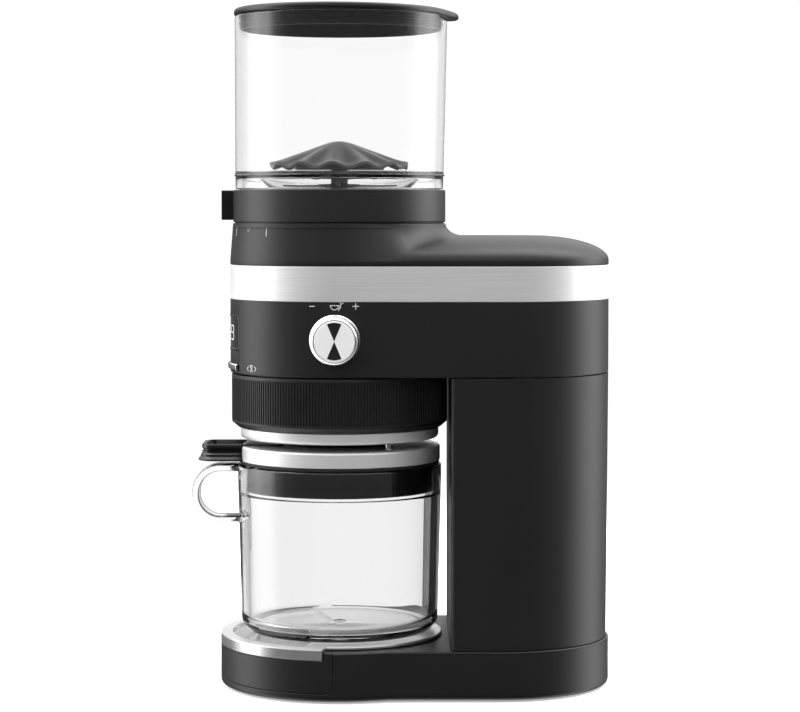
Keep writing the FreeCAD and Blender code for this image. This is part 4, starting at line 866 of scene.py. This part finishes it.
start = body_radius
profile = rounded([(0, start - 8), (SPINDLE, start - 8), (SPINDLE, start + 0.4), (SKIRT, start + 0.4, 0.4),
                   (SKIRT, start + 2.6, 0.8), (KNOB + 0.1, start + 3.6, 0.8), (KNOB, OUT - 2.0, 0.6),
                   (KNOB - 0.3, OUT - 1.2, 0.5), (KNOB - 1.7, OUT, 0.5), (10.7, OUT - 0.9, 0.2),
                   (0, OUT - 0.9)], 5, False)
make("dose_knob", turned_sideways(profile), body="knob", slot="bright_steel", finish=polished,
     replaces=["dose_knob"], sharp=40)
spun = Finish("spun face with painted reflection wedges")
place = spun.place(location=(0, -knob_back * MILLIMETRE, -knob_height * MILLIMETRE))
across_wire, up_wire = (abs(spun.node("ShaderNodeSeparateXYZ", Vector=place, output=axis)) for axis in "YZ")
from_middle = spun.node("ShaderNodeVectorMath", {"operation": "LENGTH"}, output="Value",
                        Vector=spun.node("ShaderNodeCombineXYZ", Y=across_wire, Z=up_wire))
# Painted reflection: the wedge mask paints the spun face's dark bow-tie reflection into its colour, metalness
# and gloss.
wedge = (across_wire < up_wire * WEDGE_SLOPE) * (from_middle < WEDGE_REACH * MILLIMETRE)
rings = spun.node("ShaderNodeTexWave", {"wave_type": "RINGS", "rings_direction": "X"}, output="Fac",
                  Vector=place, Scale=900.0, Distortion=0.0)
spun.wire(Base_Color=spun.mix(wedge, grey(0.88), grey(0.006)), Metallic=(1 - wedge) * 0.45,
          Roughness=0.42 - wedge * 0.12)
spun.bump(rings, 0.004, 0.6)
profile = rounded([(0, face_out - 0.5), (FACE, face_out - 0.5), (FACE, face_out - 0.1, 0.1),
                   (10.0, face_out, 0.1), (0, face_out)], 3, False)
make("knob_face", turned_sideways(profile), body="knob", slot="brushed_steel", finish=spun.material,
     replaces=["knob_face"])

# ------------------------------------------------------------------ display and start bar
# A curved smoked window in a gloss frame, with lit digits on it, over a polished bar that is pressed to
# start.


def curved_block(half_angle, profile, count=60):
    """A block bent round the front: a (radius, height) profile carried over an arc, closed at both ends."""
    path = arc_path(np.radians(np.linspace(-half_angle, half_angle, count)))
    return grid(swept(path, profile[:, 0], profile[:, 1]), loop=False, caps=True)


smoked = Finish("smoked window", Base_Color=grey(0.004))
smoked.wire(Roughness=smoked.noise(30.0) * 0.03 + 0.05)
window_low, window_high = span("display_window")
WINDOW_ANGLE = 24.0
window_face = body_radius - 0.05
profile = rounded([(body_radius - 1.3, window_low[2]), (window_face, window_low[2], 0.2),
                   (window_face, window_high[2], 0.2), (body_radius - 1.3, window_high[2])], 3)
make("display_window", curved_block(WINDOW_ANGLE, profile), body="housing", slot="display_glass",
     finish=smoked.material, replaces=["display_window"])
FRAME_CORNER = 3
half_arc = np.radians(BEZEL_ANGLE) * body_radius
half_tall = (bezel_high[2] - bezel_low[2]) / 2
centre_z = (bezel_high[2] + bezel_low[2]) / 2
outer_loop = rounded([(half_arc, -half_tall, FRAME_CORNER), (half_arc, half_tall, FRAME_CORNER),
                      (-half_arc, half_tall, FRAME_CORNER), (-half_arc, -half_tall, FRAME_CORNER)], 6)
outer_loop = np.concatenate([np.linspace(a, b, 7)[:-1]
                             for a, b in zip(outer_loop, np.roll(outer_loop, -1, 0))])
loops = []
for shrink, proud in ((0.0, -1.2), (0.0, 0.15), (0.3, 0.3), (1.2, 0.3), (1.5, 0.1), (1.5, -1.2)):
    scaled = outer_loop * [1 - shrink / half_arc, 1 - shrink / half_tall]
    bend = scaled[:, 0] / body_radius
    loops.append(np.stack([(body_radius + proud) * np.sin(bend), -(body_radius + proud) * np.cos(bend),
                           centre_z + scaled[:, 1]], -1))
frame_gloss = moulded("gloss black frame", 0.006, 0.16, 0.001)
make("display_frame", grid(np.stack(loops, 1)), body="housing", slot="gloss_black", finish=frame_gloss,
     replaces=["display_bezel"])


def ribbon(points, width, closed=False):
    """A flat stroke: a polyline widened by half its width to either side."""
    points = np.array(points, float)
    if closed:
        ahead = np.roll(points, -1, 0) - np.roll(points, 1, 0)
        ahead /= np.linalg.norm(ahead, axis=1)[:, None]
        side = np.stack([-ahead[:, 1], ahead[:, 0]], -1)
    else:
        side = along(points)[1]
    side = side * width / 2
    return np.stack([points - side, points + side], 1), closed


def print_marks(name, strokes, place, body, finish, slot="nylon", thick=0.06):
    """Strokes drawn in (along, up) millimetres and laid on a surface by a placing function."""
    grids = [grid(place(strip[..., 0], strip[..., 1]), loop=closed, profile_loop=False)
             for strip, closed in strokes]
    piece = make(name, *grids, body=body, slot=slot, finish=finish)
    thicken = piece.modifiers.new("ink", "SOLIDIFY")
    thicken.thickness = thick * MILLIMETRE
    thicken.offset = 0
    piece.modifiers.move(1, 0)
    return piece


def on_front(radius, base_height):
    """Lay a drawing on the round front: along is measured round the surface from straight ahead."""
    def place(along, up):
        bend = along / radius
        return np.stack([radius * np.sin(bend), -radius * np.cos(bend), base_height + up], -1)
    return place


def circle_points(across, up, radius, start=0, stop=360, count=24):
    angle = np.radians(np.linspace(start, stop, count))
    return np.stack([across + radius * np.cos(angle), up + radius * np.sin(angle)], -1)


PRINT_LIFT = 0.03
lit = Finish("lit digits", Base_Color=grey(0.35), Emission_Color=(0.93, 0.97, 1.0, 1), Emission_Strength=0.5)
SEGMENTS = {"a": ((0, 2), (1, 2)), "b": ((1, 2), (1, 1)), "c": ((1, 1), (1, 0)), "d": ((0, 0), (1, 0)),
            "e": ((0, 1), (0, 0)), "g": ((0, 1), (1, 1))}
DIGIT = np.array([4.2, 3.8])
FIRST_DIGIT = 2.0
DIGIT_PITCH = 6.4
strokes = []
for number, segments in enumerate(("bc", "abged", "abgcd")):
    corner = [FIRST_DIGIT + number * DIGIT_PITCH, -DIGIT[1]]
    for segment in segments:
        start, stop = np.array(SEGMENTS[segment]) * DIGIT + corner
        trim = (stop - start) * 0.10
        strokes.append(ribbon(np.linspace(start + trim, stop - trim, 5), 0.75))
digit_place = on_front(body_radius + PRINT_LIFT, (window_low[2] + window_high[2]) / 2)
print_marks("display_digits", strokes, digit_place, "housing", lit.material, slot="display_glass")
bar_out = -bar_low[1]
profile = rounded([(bar_out - 3.6, bar_low[2], 0.3), (bar_out, bar_low[2], 1.3), (bar_out, bar_high[2], 1.3),
                   (bar_out - 3.6, bar_high[2], 0.3)], 6)
make("start_bar", curved_block(BAR_ANGLE, profile), body="bar", slot="bright_steel", finish=polished,
     replaces=["start_bar"], bevel=0.5)

# ------------------------------------------------------------------ printed marks
# Pale ink, pad printed: grind ticks on the neck, a cup and signs over the knob, and a turn sign by the start
# bar.
ink = moulded("pale ink", 0.62, 0.5, 0.001)
TICK_FOOT = 248.9


def on_neck(along, up):
    """Lay a drawing on the slightly tapered neck: along is measured round it from straight ahead."""
    climb = (TICK_FOOT + up - SHOULDER_START) / (neck_top - SHOULDER_START)
    radius = body_radius - (body_radius - NECK_TOP_RADIUS) * climb + PRINT_LIFT
    bend = along / NECK_TOP_RADIUS
    return np.stack([radius * np.sin(bend), -radius * np.cos(bend), TICK_FOOT + up], -1)


marks = []
for spot in np.radians([-50, -20, 0, 20, 50]) * NECK_TOP_RADIUS:
    marks.append(ribbon([(spot, 0), (spot, 4.9)], 0.34))
for spot in np.radians([-35, 35]) * NECK_TOP_RADIUS:
    marks.append(ribbon([(spot - 1.4, 4.6), (spot + 1.4, 4.6), (spot, 2.4)], 0.3, closed=True))
print_marks("grind_ticks", marks, on_neck, "housing", ink)


def on_side(along, up):
    """Lay a drawing on the flat side, around the knob's spindle."""
    return np.stack([body_radius + PRINT_LIFT + 0 * along, knob_back + along, knob_height + up], -1)


cup = [ribbon([(-2.6, 18.4), (2.2, 18.4)], 0.4), ribbon(circle_points(-0.2, 18.2, 2.1, 180, 360), 0.4),
       ribbon(circle_points(2.3, 17.6, 0.8, -80, 90), 0.35),
       ribbon(circle_points(3.6, 20.2, 0.9, 0, 345), 0.35), ribbon([(3.3, 19.2), (1.9, 15.6)], 0.4)]
signs = [ribbon([(-13.6, 18.0), (-10.6, 18.0)], 0.4), ribbon([(9.4, 18.0), (12.8, 18.0)], 0.4),
         ribbon([(11.1, 16.3), (11.1, 19.7)], 0.4)]
print_marks("dose_signs", cup + signs, on_side, "housing", ink)
TURN_SIGN = (np.radians(39.5) * body_radius, 177.3)
TURN_STROKES = ([(-1.2, 1.9), (1.2, 1.9), (-1.2, -1.9), (1.2, -1.9), (-1.2, 1.9)],
                [(-2.6, 1.3), (-4.0, 0), (-2.6, -1.3)], [(2.6, 1.3), (4.0, 0), (2.6, -1.3)])
turn_sign = [ribbon(np.array(stroke) + [TURN_SIGN[0], 0], 0.35) for stroke in TURN_STROKES]
print_marks("turn_sign", turn_sign, on_front(body_radius + PRINT_LIFT, TURN_SIGN[1]), "housing", ink)

# ------------------------------------------------------------------ inner works
# Everything that the shells hide keeps its CAD shape and gets its real finish.
INNER = {
    "matte_black": black_plastic,
    "black_rubber": rubber,
    "zinc_steel": brushed("zinc plated steel", 0.6, 0.35, stretch=(40, 40, 40), depth=0.002),
    "tool_steel": brushed("machined tool steel", 0.42, 0.3, stretch=(200, 200, 20), depth=0.003),
    "bright_steel": polished,
    "brushed_steel": band_steel,
    "nylon": moulded("natural nylon", 0.55, 0.45, 0.006),
    "circuit_board": moulded("solder mask", 0.05, 0.35, 0.004),
    "magnet": moulded("sintered magnet", 0.06, 0.5, 0.01),
    "gloss_black": frame_gloss,
    "guard_grey": guard_grey,
    "display_glass": smoked.material,
    "clear": clear,
}
slot_of = {part["node"]: part["material_slot"] for part in frame["record"]["subparts"]}
for node, obj in frame["nodes"].items():
    for material_slot in obj.material_slots:
        material_slot.material = INNER[slot_of[node]]

# ------------------------------------------------------------------ studio
# A pale round floor, a long lens on the knob's side, one soft box overhead and a room of light.
CAMERA_BACK = 33.6
CAMERA_AWAY = 1353.7
CAMERA_UP = 262.5
CAMERA_PITCH = 2.463
LENS = 109.7
camera = bpy.data.objects.new("camera", bpy.data.cameras.new("camera"))
camera.data.lens = LENS
camera.data.sensor_width = 36
camera.data.shift_y = -0.05
camera.location = Vector((CAMERA_AWAY, CAMERA_BACK, CAMERA_UP)) * MILLIMETRE
camera.rotation_euler = (np.radians(90 - CAMERA_PITCH), 0, np.radians(90))
bpy.context.scene.collection.objects.link(camera)
bpy.context.scene.camera = camera

FLOOR_RADIUS = 1.3
SMOOTH = {"interpolation_type": "SMOOTHSTEP"}
rim = np.linspace(0, 2 * np.pi, 96, endpoint=False)
floor_mesh = bpy.data.meshes.new("floor")
floor_points = FLOOR_RADIUS * np.stack([np.cos(rim), np.sin(rim), 0 * rim], -1)
floor_mesh.from_pydata(floor_points.tolist(), [], [tuple(range(len(rim)))])
floor = bpy.data.objects.new("floor", floor_mesh)
bpy.context.scene.collection.objects.link(floor)
paper = Finish("studio floor", Roughness=0.8, Specular_IOR_Level=0.1, Emission_Strength=0.9)
sideways = paper.node("ShaderNodeSeparateXYZ", Vector=paper.place(), output="X")
away = paper.node("ShaderNodeVectorMath", {"operation": "LENGTH"}, output="Value", Vector=paper.place())
lift = paper.node("ShaderNodeMapRange", SMOOTH, Value=sideways, From_Min=0.5, From_Max=-0.5)
fade = paper.node("ShaderNodeMapRange", SMOOTH, Value=away, From_Min=1.1, From_Max=0.45)
paper.wire(Base_Color=paper.mix(lift, grey(0.7), grey(0.8)),
           Emission_Color=paper.mix(lift, grey(0.0), grey(1.0)), Alpha=fade)
floor_mesh.materials.append(paper.material)
floor.visible_glossy = False
floor.visible_transmission = False

lamp = bpy.data.lights.new("soft box", "AREA")
lamp.shape = "RECTANGLE"
lamp.size, lamp.size_y = 1.2, 1.6
lamp.energy = 12
holder = bpy.data.objects.new("soft box", lamp)
holder.location = (-0.25, 0.1, 1.7)
holder.visible_glossy = False
bpy.context.scene.collection.objects.link(holder)

# The room: a broad ring of light to the left, over the top and to the right, dark in front and behind. The
# backdrop is plain white, and through the clear pieces the room is a flat grey that is white straight behind.
RING_LIGHT = 4.2
BACKDROP = 1.1
world = bpy.data.worlds.new("studio")
bpy.context.scene.world = world
world.use_nodes = True
background = world.node_tree.nodes["Background"]
background.inputs["Strength"].default_value = RING_LIGHT
room = Nodes(world.node_tree)
toward = room.node("ShaderNodeTexCoord", output="Generated")
x, y, z = (room.node("ShaderNodeSeparateXYZ", output=axis, Vector=toward) for axis in "XYZ")
FROM_FAR_TO_NEAR = [(0.0, 0.05), (0.17, 0.07), (0.27, 0.6), (0.34, 1.0), (0.50, 1.0), (0.59, 0.25),
                    (0.68, 0.05), (0.80, 0.03)]
FROM_FLOOR_TO_TOP = [(0.40, 0.6), (0.485, 1.0), (0.58, 1.0), (0.70, 0.55), (0.90, 1.0)]
by_side, by_height = (
    room.node("ShaderNodeValToRGB", {"stops": stops}, output="Color",
              Fac=room.node("ShaderNodeMapRange", Value=share, From_Min=-1.0))
    for stops, share in ((FROM_FAR_TO_NEAR, y * 0.10 + x), (FROM_FLOOR_TO_TOP, z)))
overhead = room.node("ShaderNodeMapRange", SMOOTH, Value=z, From_Min=0.05, From_Max=0.32, To_Max=0.28)
lit_room = room.mix(1.0, room.mix(1.0, by_side, by_height, "MULTIPLY"), overhead, "ADD")
through_clear = room.node("ShaderNodeMapRange", Value=x, From_Min=-0.2, From_Max=0.6,
                          To_Min=0.50 / RING_LIGHT, To_Max=0.26 / RING_LIGHT)
in_clear, to_camera = (room.node("ShaderNodeLightPath", output=output)
                       for output in ("Is Transmission Ray", "Is Camera Ray"))
far_wall = room.node("ShaderNodeMapRange", SMOOTH, Value=x, From_Min=-0.70, From_Max=-0.92)
white = to_camera.math("MAXIMUM", to_camera, in_clear * far_wall)
room_colour = room.mix(white, room.mix(in_clear, lit_room, through_clear), grey(BACKDROP / RING_LIGHT))
room.plug(background.inputs["Color"], room_colour)
bpy.context.scene.view_settings.view_transform = "Standard"
